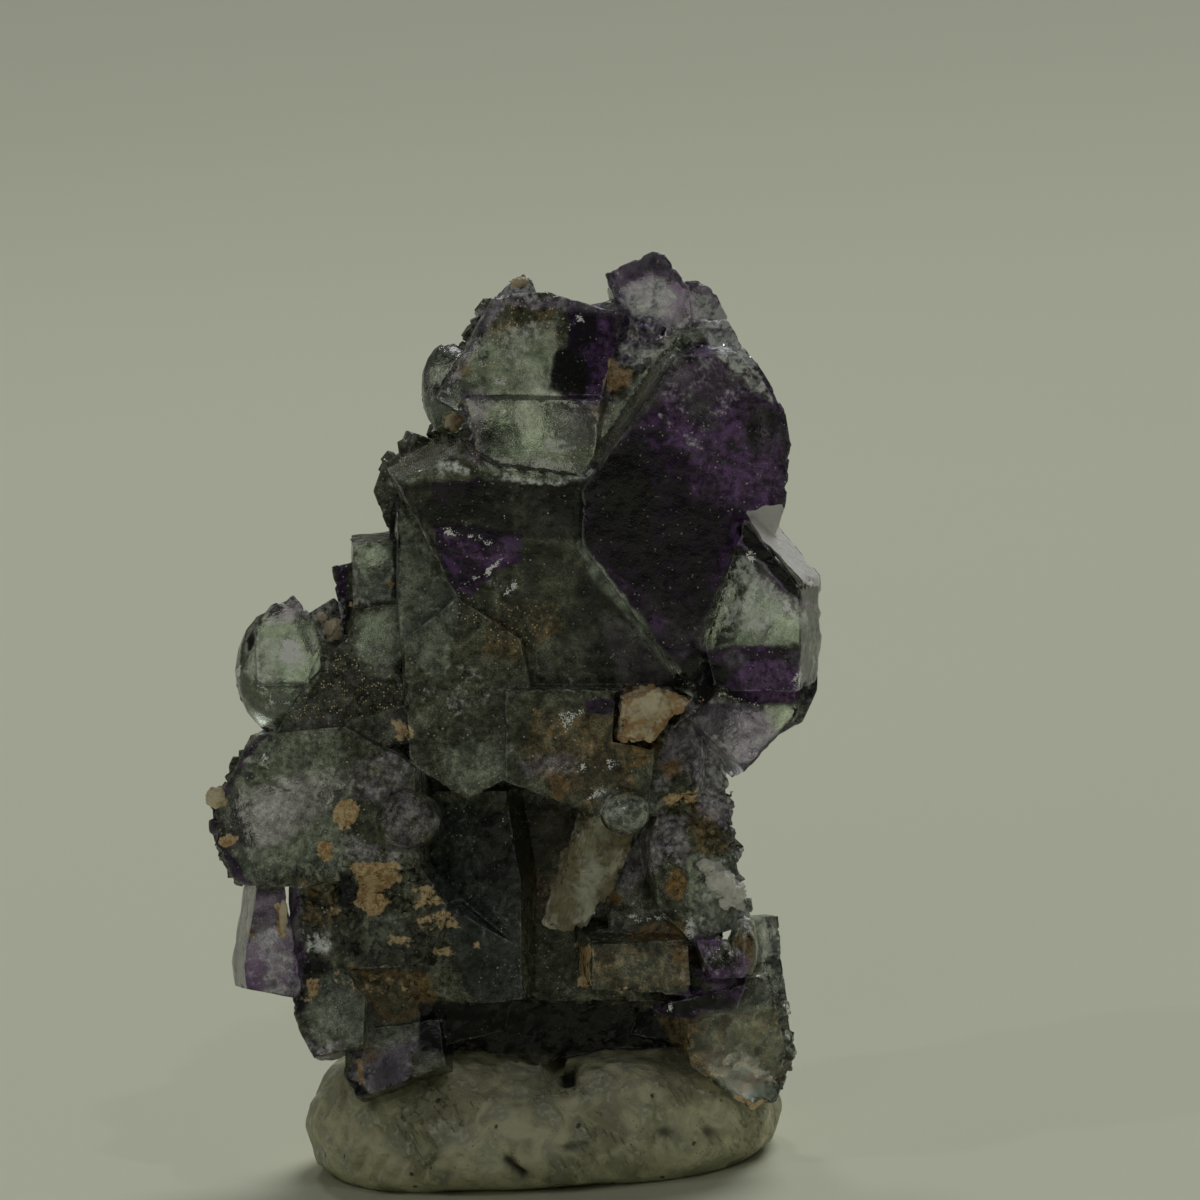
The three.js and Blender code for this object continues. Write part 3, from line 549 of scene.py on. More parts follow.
leftPaint = {
    "upright, frost": ("pale", 0.6, [(353, 540), (392, 540), (392, 606), (355, 606)]),
    "upright, green": ("green", 0.7, [(353, 540), (392, 540), (392, 600), (355, 600)]),
    "upright, tan foot": ("tan", 0.6, 5, [(350, 605), (372, 610), (392, 602)]),
    "upright, tan spot": ("tan", 0.7, 389, 582, 4, 5, 0),
    "blade, purple": ("purple", 0.75, [(332, 562), (346, 560), (350, 640), (338, 632)]),
    "blade, tan": ("rust", 0.5, [(346, 560), (354, 558), (353, 605), (348, 605)]),
    "blade, black specks": ("dark", 0.8, [(340, 600), (354, 600), (350, 640), (342, 638)]),
    "blob": ("pale", 0.6, [(310, 600), (345, 592), (345, 645), (315, 640)]),
    "bead, lavender cap": ("lavender", 1.0, [(262, 605), (292, 592), (312, 612), (300, 625), (265, 622)]),
    "bead, purple cap": ("purple", 0.6, 5, [(268, 606), (290, 596), (308, 612)]),
    "bead, green": ("green", 0.85,
        [(240, 640), (262, 612), (308, 618), (328, 660), (300, 700), (262, 728), (238, 690)]),
    "bead, frost": ("pale", 0.8, [(255, 635), (300, 635), (310, 665), (270, 690), (245, 670)]),
    "bead, highlight": ("glint", 1.3, 290, 652, 9, 10, 20),
    "bead, arc": ("glint", 1.15, 5, [(262, 690), (275, 702), (292, 700)]),
    "bead, top arc": ("glint", 1.1, 4, [(258, 632), (270, 622), (286, 620)]),
    "bead, right spots": ("purple", 0.8, 312, 668, 5, 7, 0),
    "bead, left highlight": ("glint", 1.1, 240, 672, 4, 7, 30),
    "bead, low highlight": ("pale", 0.8, 272, 706, 8, 4, 20),
    # painted highlight: the bead is lighter in its middle
    "bead, bright middle": ("pale", 1.0, [(272, 640), (298, 636), (306, 664), (282, 672)]),
    "bead, black nub": ("dark", 1.0, 252, 640, 5, 10, 15),
    "bead, purple dot": ("purple", 1.0, 301, 688, 5, 4, 0),
    "bead, rust dot": ("rust", 0.9, 272, 677, 7, 4, 0),
    "bead, left rim": ("purple", 0.7, 5, [(237, 690), (250, 715), (268, 736)]),
    "slope, frost line": ("pale", 0.7, 4, [(306, 690), (325, 668), (336, 650)]),
    "slope, green": ("green", 0.6, [(355, 620), (402, 605), (402, 650), (380, 668), (358, 664)]),
    "slope, dark": ("dark", 0.45, [(330, 665), (400, 680), (400, 712), (340, 720), (300, 700)]),
    "slope, dust": ("dust", 0.55,
        [(300, 690), (345, 650), (402, 660), (402, 715), (320, 722), (268, 722)]),
    "serrated lump, green": ("green", 0.36, [(215, 800), (262, 735), (345, 730), (350, 870), (240, 882)]),
    "serrated lump, lavender": ("lavender", 0.6,
        [(230, 790), (345, 765), (345, 800), (280, 850), (225, 850)]),
    "serrated lump, olive": ("dark", 0.25, [(300, 725), (352, 722), (352, 760), (310, 762)]),
    "serrated edge": ("purple", 0.75, 9,
        [(268, 732), (250, 750), (232, 782), (214, 808), (212, 830), (228, 862), (246, 884)]),
    "serrated lump, highlight": ("glint", 1.0, 265, 758, 4, 4, 0),
    "serrated lump, highlight rim": ("pale", 0.6, 254, 762, 14, 6, 0),
    "serrated lump, purple dot": ("purple", 1.0, 300, 817, 6, 6, 0),
    "serrated lump, dark dot": ("purple", 0.9, 248, 779, 5, 4, 0),
    "tan dot": ("tan", 1.0, 345, 811, 11, 13, 0),
    "low tan dot": ("tan", 0.95, 324, 850, 8, 8, 0),
    "left tan dot": ("tan", 0.8, 227, 842, 8, 6, 0),
    "middle lump": ("lavender", 0.35,
        [(380, 800), (402, 788), (432, 806), (442, 825), (415, 850), (385, 845)]),
    "middle lump, above": ("lavender", 0.4, [(345, 765), (400, 745), (430, 770), (400, 795), (350, 800)]),
    "middle lump, shade": ("dark", 0.35, [(380, 790), (440, 800), (440, 850), (385, 850)]),
    "middle lump, below": ("lavender", 0.4, [(350, 830), (400, 850), (400, 880), (350, 865)]),
    "middle facets": ("green", 0.35, [(440, 745), (500, 740), (510, 770), (472, 800), (448, 790)]),
}

footPaint = {
    "purple cube, clear slab": ("pale", 0.3, [(238, 890), (256, 890), (246, 975), (228, 985)]),
    "purple cube, frost": ("pale", 0.5, [(246, 930), (290, 925), (302, 965), (296, 1000), (232, 985)]),
    "purple cube, lavender": ("lavender", 0.8, [(240, 890), (300, 890), (303, 1000), (230, 985)]),
    "purple cube, dark top": ("purple", 1.4, [(252, 888), (292, 894), (290, 924), (250, 930)]),
    "purple cube, right face": ("violet", 1.3,
        [(279, 892), (298, 888), (298, 915), (290, 930), (282, 920)]),
    "purple cube, tan strip": ("tan", 1.0, 6, [(277, 905), (280, 922), (287, 938)]),
    "purple cube, rust dot": ("rust", 1.0, 249, 931, 7, 4, 0),
    "purple cube, low left blotch": ("violet", 2.2, 248, 973, 16, 14, 20),
    "purple cube, left blotch": ("violet", 2.0, 246, 950, 9, 12, 0),
    "purple cube, right blotch": ("violet", 2.0, 290, 962, 12, 18, 0),
    "purple cube, middle blotch": ("purple", 1.1, 272, 980, 9, 7, 0),
    "purple cube, left side": ("violet", 0.9, 10, [(238, 900), (232, 950), (226, 985)]),
    "purple cube, corner": ("purple", 1.3, [(236, 958), (262, 972), (256, 992), (230, 984)]),
    "purple cube, grey foot": ("dark", 0.6, 292, 990, 7, 10, 0),
    "stain, orange": ("tan", 0.85,
        [(344, 862), (396, 864), (406, 880), (384, 893), (394, 903), (372, 918), (352, 902), (360, 884)]),
    "stain, black": ("dark", 1.0, [(337, 868), (350, 870), (360, 890), (352, 914), (338, 902)]),
    "stain, brown left": ("rust", 0.6, [(302, 880), (338, 876), (338, 925), (300, 925)]),
    "stain, left tan": ("tan", 0.6, [(318, 902), (345, 908), (335, 918), (318, 912)]),
    "stain, right tan": ("tan", 0.55, [(408, 914), (448, 910), (462, 928), (440, 932), (412, 926)]),
    "stain, low tan": ("tan", 0.5, [(384, 934), (420, 938), (416, 948), (388, 946)]),
    "stain, low right tan": ("tan", 0.5, [(428, 948), (452, 944), (460, 956), (436, 962)]),
    "stain, far tan": ("tan", 0.5, 475, 945, 6, 6, 0),
    "stain, speckled": ("tan", 0.48, [(402, 882), (440, 884), (446, 905), (408, 912)]),
    "stain, speckled black": ("dark", 0.6, [(425, 885), (446, 890), (444, 908), (420, 905)]),
    "stain, olive": ("dark", 0.45, [(360, 920), (480, 915), (480, 985), (350, 975)]),
    "stain, white": ("pale", 0.95, [(302, 932), (330, 930), (332, 952), (304, 952)]),
    "stain, green": ("green", 0.25, [(360, 915), (400, 915), (410, 935), (380, 960), (355, 945)]),
    # painted shadow in the gap between the crystals
    "black gap": ("dark", 1.0, [(298, 960), (330, 960), (330, 975), (304, 978)]),
    "green cube": ("green", 0.35,
        [(298, 1010), (330, 975), (400, 980), (440, 1010), (420, 1040), (320, 1055)]),
    "green cube, shade": ("dark", 0.42, [(330, 975), (440, 985), (430, 1040), (350, 1045)]),
    "green cube, gold": ("tan", 0.42, [(330, 965), (420, 975), (410, 1000), (340, 995)]),
    "green cube, tan": ("tan", 0.65, [(308, 975), (325, 985), (322, 1006), (304, 1004)]),
    "green cube, purple rim": ("lavender", 1.0, 8, [(303, 1040), (314, 1054), (345, 1046)]),
    "green cube, dark corner": ("dark", 0.7, 300, 1003, 8, 10, 0),
    "green cube, rust": ("rust", 0.75, [(340, 965), (430, 972), (445, 1015), (380, 1025)]),
    "root, lavender": ("lavender", 0.7, [(352, 1050), (420, 1035), (410, 1080), (370, 1098), (348, 1080)]),
    "root, purple": ("violet", 0.6, [(368, 1055), (412, 1042), (400, 1085), (372, 1090)]),
    "root, black tip": ("dark", 1.0, [(342, 1074), (358, 1078), (374, 1096), (352, 1100)]),
    "root, tan strip": ("tan", 0.85, 7, [(358, 1060), (362, 1084)]),
    "root, rust": ("rust", 0.8, [(358, 1040), (378, 1045), (376, 1064), (360, 1062)]),
    "slate prism": ("slate", 0.9, outlines["slate prism"]),
    "brown band": ("rust", 0.6,
        [(420, 1000), (640, 1000), (720, 1030), (710, 1065), (560, 1062), (420, 1045)]),
    # painted shadow under the overhang above the putty
    "brown band, dark": ("dark", 0.95, [(420, 1000), (640, 1002), (690, 1062), (420, 1052)]),
    "recess, lavender": ("lavender", 0.45, [(600, 835), (670, 825), (660, 870), (612, 900)]),
    "recess, ochre": ("rust", 1.0, 676, 884, 10, 14, 0),
    "recess, rust dot": ("rust", 1.0, 617, 897, 6, 4, 0),
    "recess, glints": ("glint", 0.9, 6, [(634, 915), (664, 918)]),
    "recess, shelf": ("rust", 0.8, [(627, 922), (686, 922), (688, 940), (627, 940)]),
    "recess, pale foot": ("pale", 0.45, [(585, 905), (625, 905), (632, 935), (590, 940)]),
    "window block": ("pale", 0.2, outlines["window block"]),
    "window block, green": ("green", 0.3, [(610, 950), (675, 948), (672, 986), (620, 986)]),
    "window block, olive": ("rust", 0.55, outlines["window block"]),
    "window block, ochre": ("rust", 0.9, 683, 954, 10, 8, 0),
    "window block, tan edge": ("tan", 0.7, [(577, 944), (592, 946), (592, 990), (578, 990)]),
    "window block, tan foot": ("tan", 0.55, 5, [(578, 988), (600, 992), (626, 988)]),
    "mosaic, frost": ("pale", 0.45, [(692, 940), (740, 938), (746, 972), (735, 985), (712, 978)]),
    "mosaic, first glint": ("glint", 1.1, 4, [(700, 972), (708, 958), (720, 948)]),
    "mosaic, second glint": ("glint", 1.1, 4, [(722, 962), (732, 950)]),
    "mosaic, purple": ("violet", 1.5, [(690, 934), (720, 940), (716, 958), (690, 950)]),
    "mosaic, low purple": ("violet", 1.5, 716, 976, 15, 9, 20),
    "mosaic, right purple": ("violet", 1.4, 739, 966, 8, 14, 0),
    "mosaic, glint": ("glint", 1.0, 691, 929, 4, 10, 10),
    "oval": ("rust", 0.7, 745, 950, 13, 30, 5),
    "oval, outline": ("dark", 0.9, 4, [(742, 918), (757, 948), (746, 984)]),
    "column": ("pale", 0.5, [(755, 915), (790, 915), (800, 1000), (760, 1000)]),
    "column, lavender": ("lavender", 0.5, [(755, 915), (795, 915), (805, 1010), (755, 1005)]),
    "column, clear": ("green", 0.7, [(755, 910), (795, 910), (805, 1010), (755, 1005)]),
    "column, purple dot": ("purple", 1.0, 766, 924, 5, 4, 0),
    "behind, frost": ("pale", 0.6, [(690, 735), (735, 735), (755, 830), (700, 800)]),
    "behind, lavender": ("lavender", 0.8, [(690, 735), (740, 735), (765, 850), (700, 810)]),
    "right middle, rust": ("rust", 0.6, [(688, 800), (720, 806), (730, 850), (695, 858)]),
    "right middle, lavender": ("lavender", 0.6, [(655, 810), (690, 815), (690, 870), (655, 850)]),
    "right middle, frost": ("pale", 0.5, [(690, 850), (768, 850), (772, 935), (692, 935)]),
    "right middle, clear": ("green", 0.6, [(680, 850), (768, 850), (772, 935), (692, 935)]),
    "right crust": ("white", 1.1, [(696, 860), (716, 858), (746, 894), (742, 912), (712, 894)]),
    "under the mosaic": ("purple", 1.0, [(640, 1012), (690, 990), (748, 986), (738, 1008), (690, 1022)]),
    # painted shade under the mosaic
    "under the mosaic, black": ("dark", 0.9, [(660, 1004), (715, 992), (735, 1004), (680, 1018)]),
    "under the mosaic, sparkle": ("glint", 0.9, 670, 1009, 4, 4, 0),
    "right foot": ("green", 0.75, [(700, 1010), (800, 1000), (800, 1105), (745, 1105), (690, 1050)]),
    "right foot, frost": ("pale", 0.25, [(740, 1020), (790, 1010), (790, 1095), (760, 1100)]),
    "right foot, ochre": ("rust", 0.75, [(640, 1018), (780, 1006), (796, 1080), (740, 1096), (690, 1062)]),
    "right foot, tan rim": ("tan", 0.7, 8, [(735, 1096), (752, 1106), (766, 1102)]),
}

# Where the surface is crusted with tiny crystals, and how much
roughPaint = {
    "left lump": ("rough", 0.32, [(205, 800), (262, 735), (345, 730), (440, 790), (430, 860), (240, 885)]),
    "slope": ("rough", 0.45, [(300, 680), (400, 650), (480, 700), (440, 790), (345, 740)]),
    "stained mass": ("rough", 0.9, [(300, 850), (440, 850), (480, 960), (440, 1010), (300, 965)]),
    "green cube": ("rough", 0.25, [(300, 965), (440, 1000), (420, 1045), (300, 1050)]),
    "crust edge": ("rough", 0.8, [(694, 325), (742, 322), (775, 410), (735, 384)]),
    "saddle": ("rough", 0.7, [(618, 318), (700, 318), (640, 378), (606, 400)]),
    "right flank": ("rough", 0.7, [(655, 790), (745, 790), (750, 940), (690, 940), (650, 870)]),
    "right foot": ("rough", 0.45, [(640, 990), (800, 990), (800, 1110), (700, 1060)]),
    "banded cube, side": ("rough", 0.5, 16, [(828, 590), (832, 640), (824, 700)]),
    "block": ("rough", 0.3, [(400, 640), (660, 640), (660, 830), (440, 800)]),
    "slate prism": ("rough", 0.3, outlines["slate prism"]),
    "brown band": ("rough", 0.5, [(420, 1000), (700, 1000), (700, 1060), (420, 1050)]),
}


softness = {"area": 5, "line": 3.5, "spot": 0.6}         # of borders, in pixels, or in half sizes of a spot


def smoothStep(values, low, high):
    share = np.clip((values - low) / (high - low), 0, 1)
    return share * share * (3 - 2 * share)


def insideOutline(x, y, corners):
    # how far inside an outline each point is, less than 0 outside
    inside = np.zeros(len(x), bool)
    nearest = np.full(len(x), 1e9)
    for (x1, y1), (x2, y2) in zip(corners, corners[1:] + corners[:1]):
        crosses = (y1 > y) != (y2 > y)
        inside ^= crosses & (x < (x2 - x1) * (y - y1) / ((y2 - y1) or 1e-9) + x1)
        nearest = np.minimum(nearest, besideLine(x, y, (x1, y1), (x2, y2)))
    return np.where(inside, nearest, -nearest)


def besideLine(x, y, start, end):
    run = np.subtract(end, start)
    along = ((x - start[0]) * run[0] + (y - start[1]) * run[1]) / max(run @ run, 1e-9)
    along = np.clip(along, 0, 1)
    return np.hypot(x - start[0] - along * run[0], y - start[1] - along * run[1])


def patchAt(x, y, patch):
    # a patch's channel, and its strength at each pixel
    channel, amount, *shape = patch
    if len(shape) == 1:
        field, soft = insideOutline(x, y, shape[0]), softness["area"]
    elif len(shape) == 2:
        width, points = shape
        near = [besideLine(x, y, start, end) for start, end in zip(points, points[1:])]
        field, soft = width / 2 - np.min(near, axis=0), softness["line"]
    else:
        middleX, middleY, halfX, halfY, turn = shape
        angle = math.radians(turn)
        alongX = (x - middleX) * math.cos(angle) + (y - middleY) * math.sin(angle)
        alongY = (y - middleY) * math.cos(angle) - (x - middleX) * math.sin(angle)
        field = (1.2 - np.hypot(alongX / halfX, alongY / halfY)) * min(halfX, halfY)
        soft = softness["spot"] * min(halfX, halfY)
    return channel, amount * smoothStep(field, -soft, soft)


channels = ["purple", "green", "lavender", "pale", "rust", "tan", "white", "dark", "dust", "slate", "rough",
            "violet", "clear", "glint"]
smear = {"fine": 3.5, "broad": 5}        # pixels that the patches wander


def wander(points, size, seed):
    # smooth noise from -1 to 1 at each point
    offset = Vector((seed, seed * 0.7, -seed))
    return np.array([noise.noise(Vector(point) / size + offset) for point in points])


def paintAt(points, facing, rim, groove):
    # every channel's strength at each point; rim and groove say how far the nearest creases are
    x, y = pixelsOf(points)
    x = x + smear["fine"] * wander(points, 0.4, 3) + smear["broad"] * wander(points, 1.4, 13)
    y = y + smear["fine"] * wander(points, 0.4, 11) + smear["broad"] * wander(points, 1.4, 17)
    front = smoothStep(-facing, -0.1, 0.08)
    broad, middle, fine = wander(points, 2.6, 5), wander(points, 1.3, 8), wander(points, 0.5, 2)
    edge = np.exp(-rim / 0.35)
    painted = {name: np.zeros(len(points)) for name in channels}
    painted["rough"] += 0.05
    painted["purple"] += edge * 0.15
    for group in (topPaint, rightPaint, centrePaint, leftPaint, footPaint, roughPaint):
        for patch in group.values():
            channel, amount = patchAt(x, y, patch)
            painted[channel] = np.maximum(painted[channel], amount)
    painted["clear"] = np.clip(
        painted["green"] * 0.95 + painted["lavender"] * 0.7 - painted["dark"] - painted["rust"] * 0.3, 0, 1)
    # the colours of the front run through to the hidden side, under clouds of its own
    cloudy = smoothStep(edge * 0.5 + broad * 0.9 + fine * 0.3, 0.35, 0.9)
    hidden = {
        "purple": cloudy * 0.35 + painted["purple"] * 0.6,
        "green": np.maximum(smoothStep(middle - edge * 0.5, -0.1, 0.5) * 0.8, painted["green"] * 0.9),
        "lavender": np.maximum(smoothStep(-middle + fine * 0.4, 0.0, 0.6) * 0.7, painted["lavender"] * 0.8),
        "violet": cloudy * 0.3 + painted["violet"] * 0.6,
        "pale": smoothStep(wander(points, 0.7, 21), 0.35, 0.6) * 0.7,
        "rust": smoothStep(wander(points, 1.9, 31), 0.3, 0.6) * 0.5,
        "tan": smoothStep(wander(points, 1.2, 37) + fine * 0.3, 0.5, 0.7) * 0.7,
        "dust": smoothStep(wander(points, 1.5, 41), 0.2, 0.5) * 0.6,
        "rough": 0.15 + smoothStep(wander(points, 2.2, 43), -0.1, 0.4) * 0.5,
        "clear": 0.12 + painted["clear"] * 0.8,
    }
    shown = {name: front * painted[name] + (1 - front) * hidden.get(name, 0) for name in channels}
    # edge, near the outward creases, sets the chips there and the painted highlight along them; groove sets
    # the painted shade in the inward creases
    return {**shown, "edge": np.exp(-rim / 0.12), "groove": np.exp(-groove / 0.12)}


# Meshes

def mergedCopy(node):
    # a CAD node's mesh in mm, its flat faces whole again
    bm = bmesh.new()
    bm.from_mesh(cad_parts[node].data)
    bmesh.ops.scale(bm, vec=(1000, 1000, 1000), verts=bm.verts)
    bmesh.ops.remove_doubles(bm, verts=bm.verts, dist=0.001)
    bmesh.ops.dissolve_limit(bm, angle_limit=math.radians(1), verts=bm.verts, edges=bm.edges)
    bmesh.ops.triangulate(bm, faces=bm.faces)
    return bm


def refine(bm, longest):
    # splits edges until none is longer than longest(middle, normal) says, in at most 10 rounds
    for _ in range(10):
        tooLong = []
        for edge in bm.edges:
            start, end = edge.verts
            if edge.calc_length() > longest((start.co + end.co) / 2, start.normal + end.normal):
                tooLong.append(edge)
        if not tooLong:
            break
        bmesh.ops.subdivide_edges(bm, edges=tooLong, cuts=1)
        bmesh.ops.triangulate(bm, faces=[face for face in bm.faces if len(face.verts) > 3])
        bm.normal_update()


def smooth(bm, verts, factor):
    bmesh.ops.smooth_vert(bm, verts=verts, factor=factor, use_axis_x=True, use_axis_y=True, use_axis_z=True)


def bevel(bm, offset, segments):
    bmesh.ops.bevel(bm, geom=bm.edges[:], offset=offset, affect="EDGES", segments=segments, profile=0.5,
                    material=-1)


def creaseDistances(bm, degrees, way=1):
    # how far each vertex is from the nearest outward crease, or inward crease if way is -1
    angle = math.radians(degrees)
    creases = [v.co for v in bm.verts
               if any(e.calc_face_angle_signed(0) * way > angle for e in v.link_edges)]
    tree = KDTree(len(creases))
    for number, place in enumerate(creases):
        tree.insert(place, number)
    tree.balance()
    return np.array([tree.find(v.co)[2] for v in bm.verts])


def facets(place, size):
    # heights of small tilted facets, one for each cell
    near = noise.voronoi(place / size)[1][0]
    tilt = Vector(noise.cell_vector(near * 9.7)) - Vector((0.5, 0.5, 0.5))
    return (place / size - near).dot(tilt) * 1.6 + noise.cell(near * 5.3) * 0.5 - 0.2


def placed(name, data):
    thing = bpy.data.objects.new(name, data)
    bpy.context.scene.collection.objects.link(thing)
    return thing


def pieceFrom(bm, name, material, sharp=30):
    # a visible piece out of a mesh in mm
    bmesh.ops.scale(bm, vec=(millimetre,) * 3, verts=bm.verts)
    mesh = bpy.data.meshes.new(name)
    bm.to_mesh(mesh)
    mesh.polygons.foreach_set("use_smooth", [True] * len(mesh.polygons))
    mesh.set_sharp_from_angle(angle=math.radians(sharp))
    mesh.materials.append(material)
    piece = placed(name, mesh)
    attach(piece, "root")
    print(f"{name}: {len(mesh.polygons)} faces")
    return piece


def setChannels(piece, values):
    for name, amounts in values.items():
        attribute = piece.data.attributes.new(name, "FLOAT", "POINT")
        attribute.data.foreach_set("value", np.asarray(amounts, np.float32))


def pointsOf(bm):
    # where each vertex is, and how far it faces away, from -1 to 1
    facing = np.array([v.normal for v in bm.verts]) @ np.array(away)
    return np.array([v.co for v in bm.verts]), facing


# Edge lengths, depths and heights in mm, the crease in degrees
fluorite = {
    "shownEdge": 0.18, "hiddenEdge": 0.5, "depth": 0.25, "crease": 20, "highest": 0.4,
    "relief": 0.17, "warp": 0.03, "chips": 0.16,
}


def makeFluorite(material):
    bm = mergedCopy("fluorite_cluster")
    solid = BVHTree.FromBMesh(bm)

    def longest(middle, normal):
        # fine where the photograph shows the surface, coarse where it is turned away or covered
        if normal.dot(away) > -0.1:
            return fluorite["hiddenEdge"]
        offset = middle - eye
        distance = solid.ray_cast(eye, offset.normalized())[3]
        covered = distance is not None and distance < offset.length - fluorite["depth"]
        return fluorite["hiddenEdge" if covered else "shownEdge"]

    refine(bm, longest)
    rim = creaseDistances(bm, fluorite["crease"])
    groove = creaseDistances(bm, fluorite["crease"], -1)
    crease = math.radians(fluorite["crease"])
    smooth(bm, [v for v in bm.verts if any(e.calc_face_angle(0) > crease for e in v.link_edges)], 0.2)
    bm.normal_update()
    points, facing = pointsOf(bm)
    painted = paintAt(points, facing, rim, groove)
    chipped = painted["edge"] * smoothStep(wander(points, 0.35, 51), 0.1, 0.45) * fluorite["chips"]
    for vert, rough, chip in zip(bm.verts, painted["rough"], chipped):
        place = vert.co.copy()
        height = facets(place, 0.75) * 0.7 + facets(place, 0.32) * 0.4
        height = max(-fluorite["highest"], min(fluorite["highest"], height))
        warp = noise.noise(place / 1.1) + 0.5 * noise.noise(place / 0.4)
        vert.co += vert.normal * (rough * fluorite["relief"] * height + fluorite["warp"] * warp - chip)
    bm.normal_update()
    tree = BVHTree.FromBMesh(bm)
    piece = pieceFrom(bm, "fluorite", material)
    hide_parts("fluorite_cluster")
    setChannels(piece, painted)
    return tree


putty = {
    "coarseEdge": 0.6, "edge": 0.17, "rounds": 6, "foot": 0.02, "liftOver": 0.6,
    "grow": 0.28, "roll": 0.16, "sink": 0.2,
}
# Each mark presses the surface in; the dark ones are also painted shade in the pits, slits, the crease line
# and the scratches
puttyMarks = {
    "notch": ("sunk", 2.6, 16, [(564, 1036), (561, 1056), (553, 1074)]),
    "crease below the notch": ("sunk", 1.0, 11, [(556, 1064), (546, 1084), (520, 1104)]),
    "crease": ("sunk", 1.3, 9, [(655, 1100), (652, 1135), (645, 1168)]),
    "crease line": ("dark", 0.3, 3, [(655, 1103), (652, 1135), (645, 1168)]),
    "thumbed hollow": ("sunk", 1.2, 470, 1128, 26, 12, -20),
    "left hollow": ("sunk", 1.0, 400, 1140, 22, 10, 15),
    "right hollow": ("sunk", 0.9, 612, 1120, 22, 14, 30),
    "lower hollow": ("sunk", 0.8, 700, 1120, 20, 9, -15),
    "square pit": ("dark", 1.6, [(561, 1072), (576, 1071), (576, 1089), (562, 1090)]),
    "slit": ("dark", 1.3, 7, [(508, 1158), (524, 1170)]),
    "short slit": ("dark", 1.0, 5, [(566, 1147), (584, 1144)]),
    "first drag": ("sunk", 0.9, 6, [(372, 1150), (360, 1168)]),
    "second drag": ("sunk", 0.9, 6, [(392, 1154), (378, 1174)]),
    "third drag": ("sunk", 0.8, 6, [(414, 1152), (398, 1176)]),
    "fourth drag": ("sunk", 0.9, 6, [(436, 1156), (420, 1178)]),
    "fifth drag": ("sunk", 0.7, 6, [(460, 1156), (446, 1178)]),
    "sixth drag": ("sunk", 0.6, 6, [(352, 1140), (342, 1156)]),
    "hollow by the crease": ("sunk", 1.2, 663, 1126, 10, 13, 0),
    "pit": ("dark", 1.0, 664, 1132, 6, 4, 0),
    "right pit": ("dark", 0.9, 706, 1131, 5, 4, 0),
    "gold fleck": ("sunk", 0.8, 467, 1117, 6, 6, 0),
    "scratch": ("dark", 0.5, 2, [(540, 1118), (556, 1131)]),
    "low scratch": ("dark", 0.4, 2, [(556, 1146), (576, 1149)]),
}


def makePutty(material):
    bm = mergedCopy("putty_lump")
    refine(bm, lambda middle, normal: putty["coarseEdge"])
    free = [v for v in bm.verts if v.co.z > putty["foot"]]
    for _ in range(putty["rounds"]):
        smooth(bm, free, 0.5)
    refine(bm, lambda middle, normal: putty["edge"])
    bm.normal_update()
    points, facing = pointsOf(bm)
    x, y = pixelsOf(points)
    shown = smoothStep(-facing, 0, 0.2)
    marks = [patchAt(x, y, patch) for patch in puttyMarks.values()]
    # painted shade in the pits, slits, crease line and scratches
    dark = np.max([amount for channel, amount in marks if channel == "dark"], axis=0) * shown
    sunk = np.max([amount for _, amount in marks], axis=0) * shown
    for vert, mark in zip(bm.verts, sunk):
        place = vert.co.copy()
        lift = min(1, max(0, place.z / putty["liftOver"]))
        rolls = noise.noise(Vector((place.x / 1.8, place.y / 1.8, place.z / 0.8)))
        rolls += 0.6 * noise.noise(place / 0.7) + 0.25 * noise.noise(place / 0.3)
        outward = lift * (putty["grow"] + putty["roll"] * rolls) - putty["sink"] * mark
        vert.co += vert.normal * outward
        vert.co.z = max(vert.co.z, 0)
    piece = pieceFrom(bm, "putty", material, sharp=60)
    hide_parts("putty_lump")
    setChannels(piece, {"dark": dark * 0.8})


stone = {"bevel": 0.08, "crease": 12, "rim": 0.3, "broad": 0.16, "middle": 0.1, "fine": 0.05}


def makeStone(node, name, material, grow, edge):
    # grown from its middle, so that it fills most of the gap round it
    bm = mergedCopy(node)
    middle = sum((v.co for v in bm.verts), Vector()) / len(bm.verts)
    for vert in bm.verts:
        vert.co = middle + (vert.co - middle) * grow
    bmesh.ops.dissolve_limit(bm, angle_limit=math.radians(2), verts=bm.verts, edges=bm.edges)
    bevel(bm, stone["bevel"], 2)
    bmesh.ops.triangulate(bm, faces=bm.faces)
    refine(bm, lambda middle, normal: edge)
    bm.normal_update()
    rim = creaseDistances(bm, stone["crease"])
    for vert in bm.verts:
        place = vert.co.copy()
        height = stone["broad"] * facets(place, 0.7) + stone["middle"] * facets(place, 0.3)
        vert.co += vert.normal * (height + stone["fine"] * noise.noise(place / 0.2))
    piece = pieceFrom(bm, name, material)
    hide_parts(node)
    setChannels(piece, {"rim": np.exp(-rim / stone["rim"])})


# Crumbs and grains: the pixel that each shows at, and its half sizes in mm across and up
crumbs = {
    "beside the upper crystal": (453, 421, 0.30, 0.36), "on the blob": (334, 630, 0.34, 0.4),
    "on the blob, upper": (322, 617, 0.2, 0.16), "left end": (216, 797, 0.34, 0.36),
    "top nub": (520, 282, 0.3, 0.2), "beside the purple cube": (283, 914, 0.14, 0.55),
}
whiteCrust = {
    "upper": (706, 866, 0.36, 0.26), "middle": (720, 880, 0.5, 0.4),
    "right": (734, 893, 0.44, 0.36), "low": (726, 903, 0.3, 0.2),
}


def hitFrom(tree, x, y):
    # where a pixel meets the cluster, and which way the surface faces there
    place, normal, _, _ = tree.ray_cast(eye, sightRay(x, y).normalized())
    return place, normal


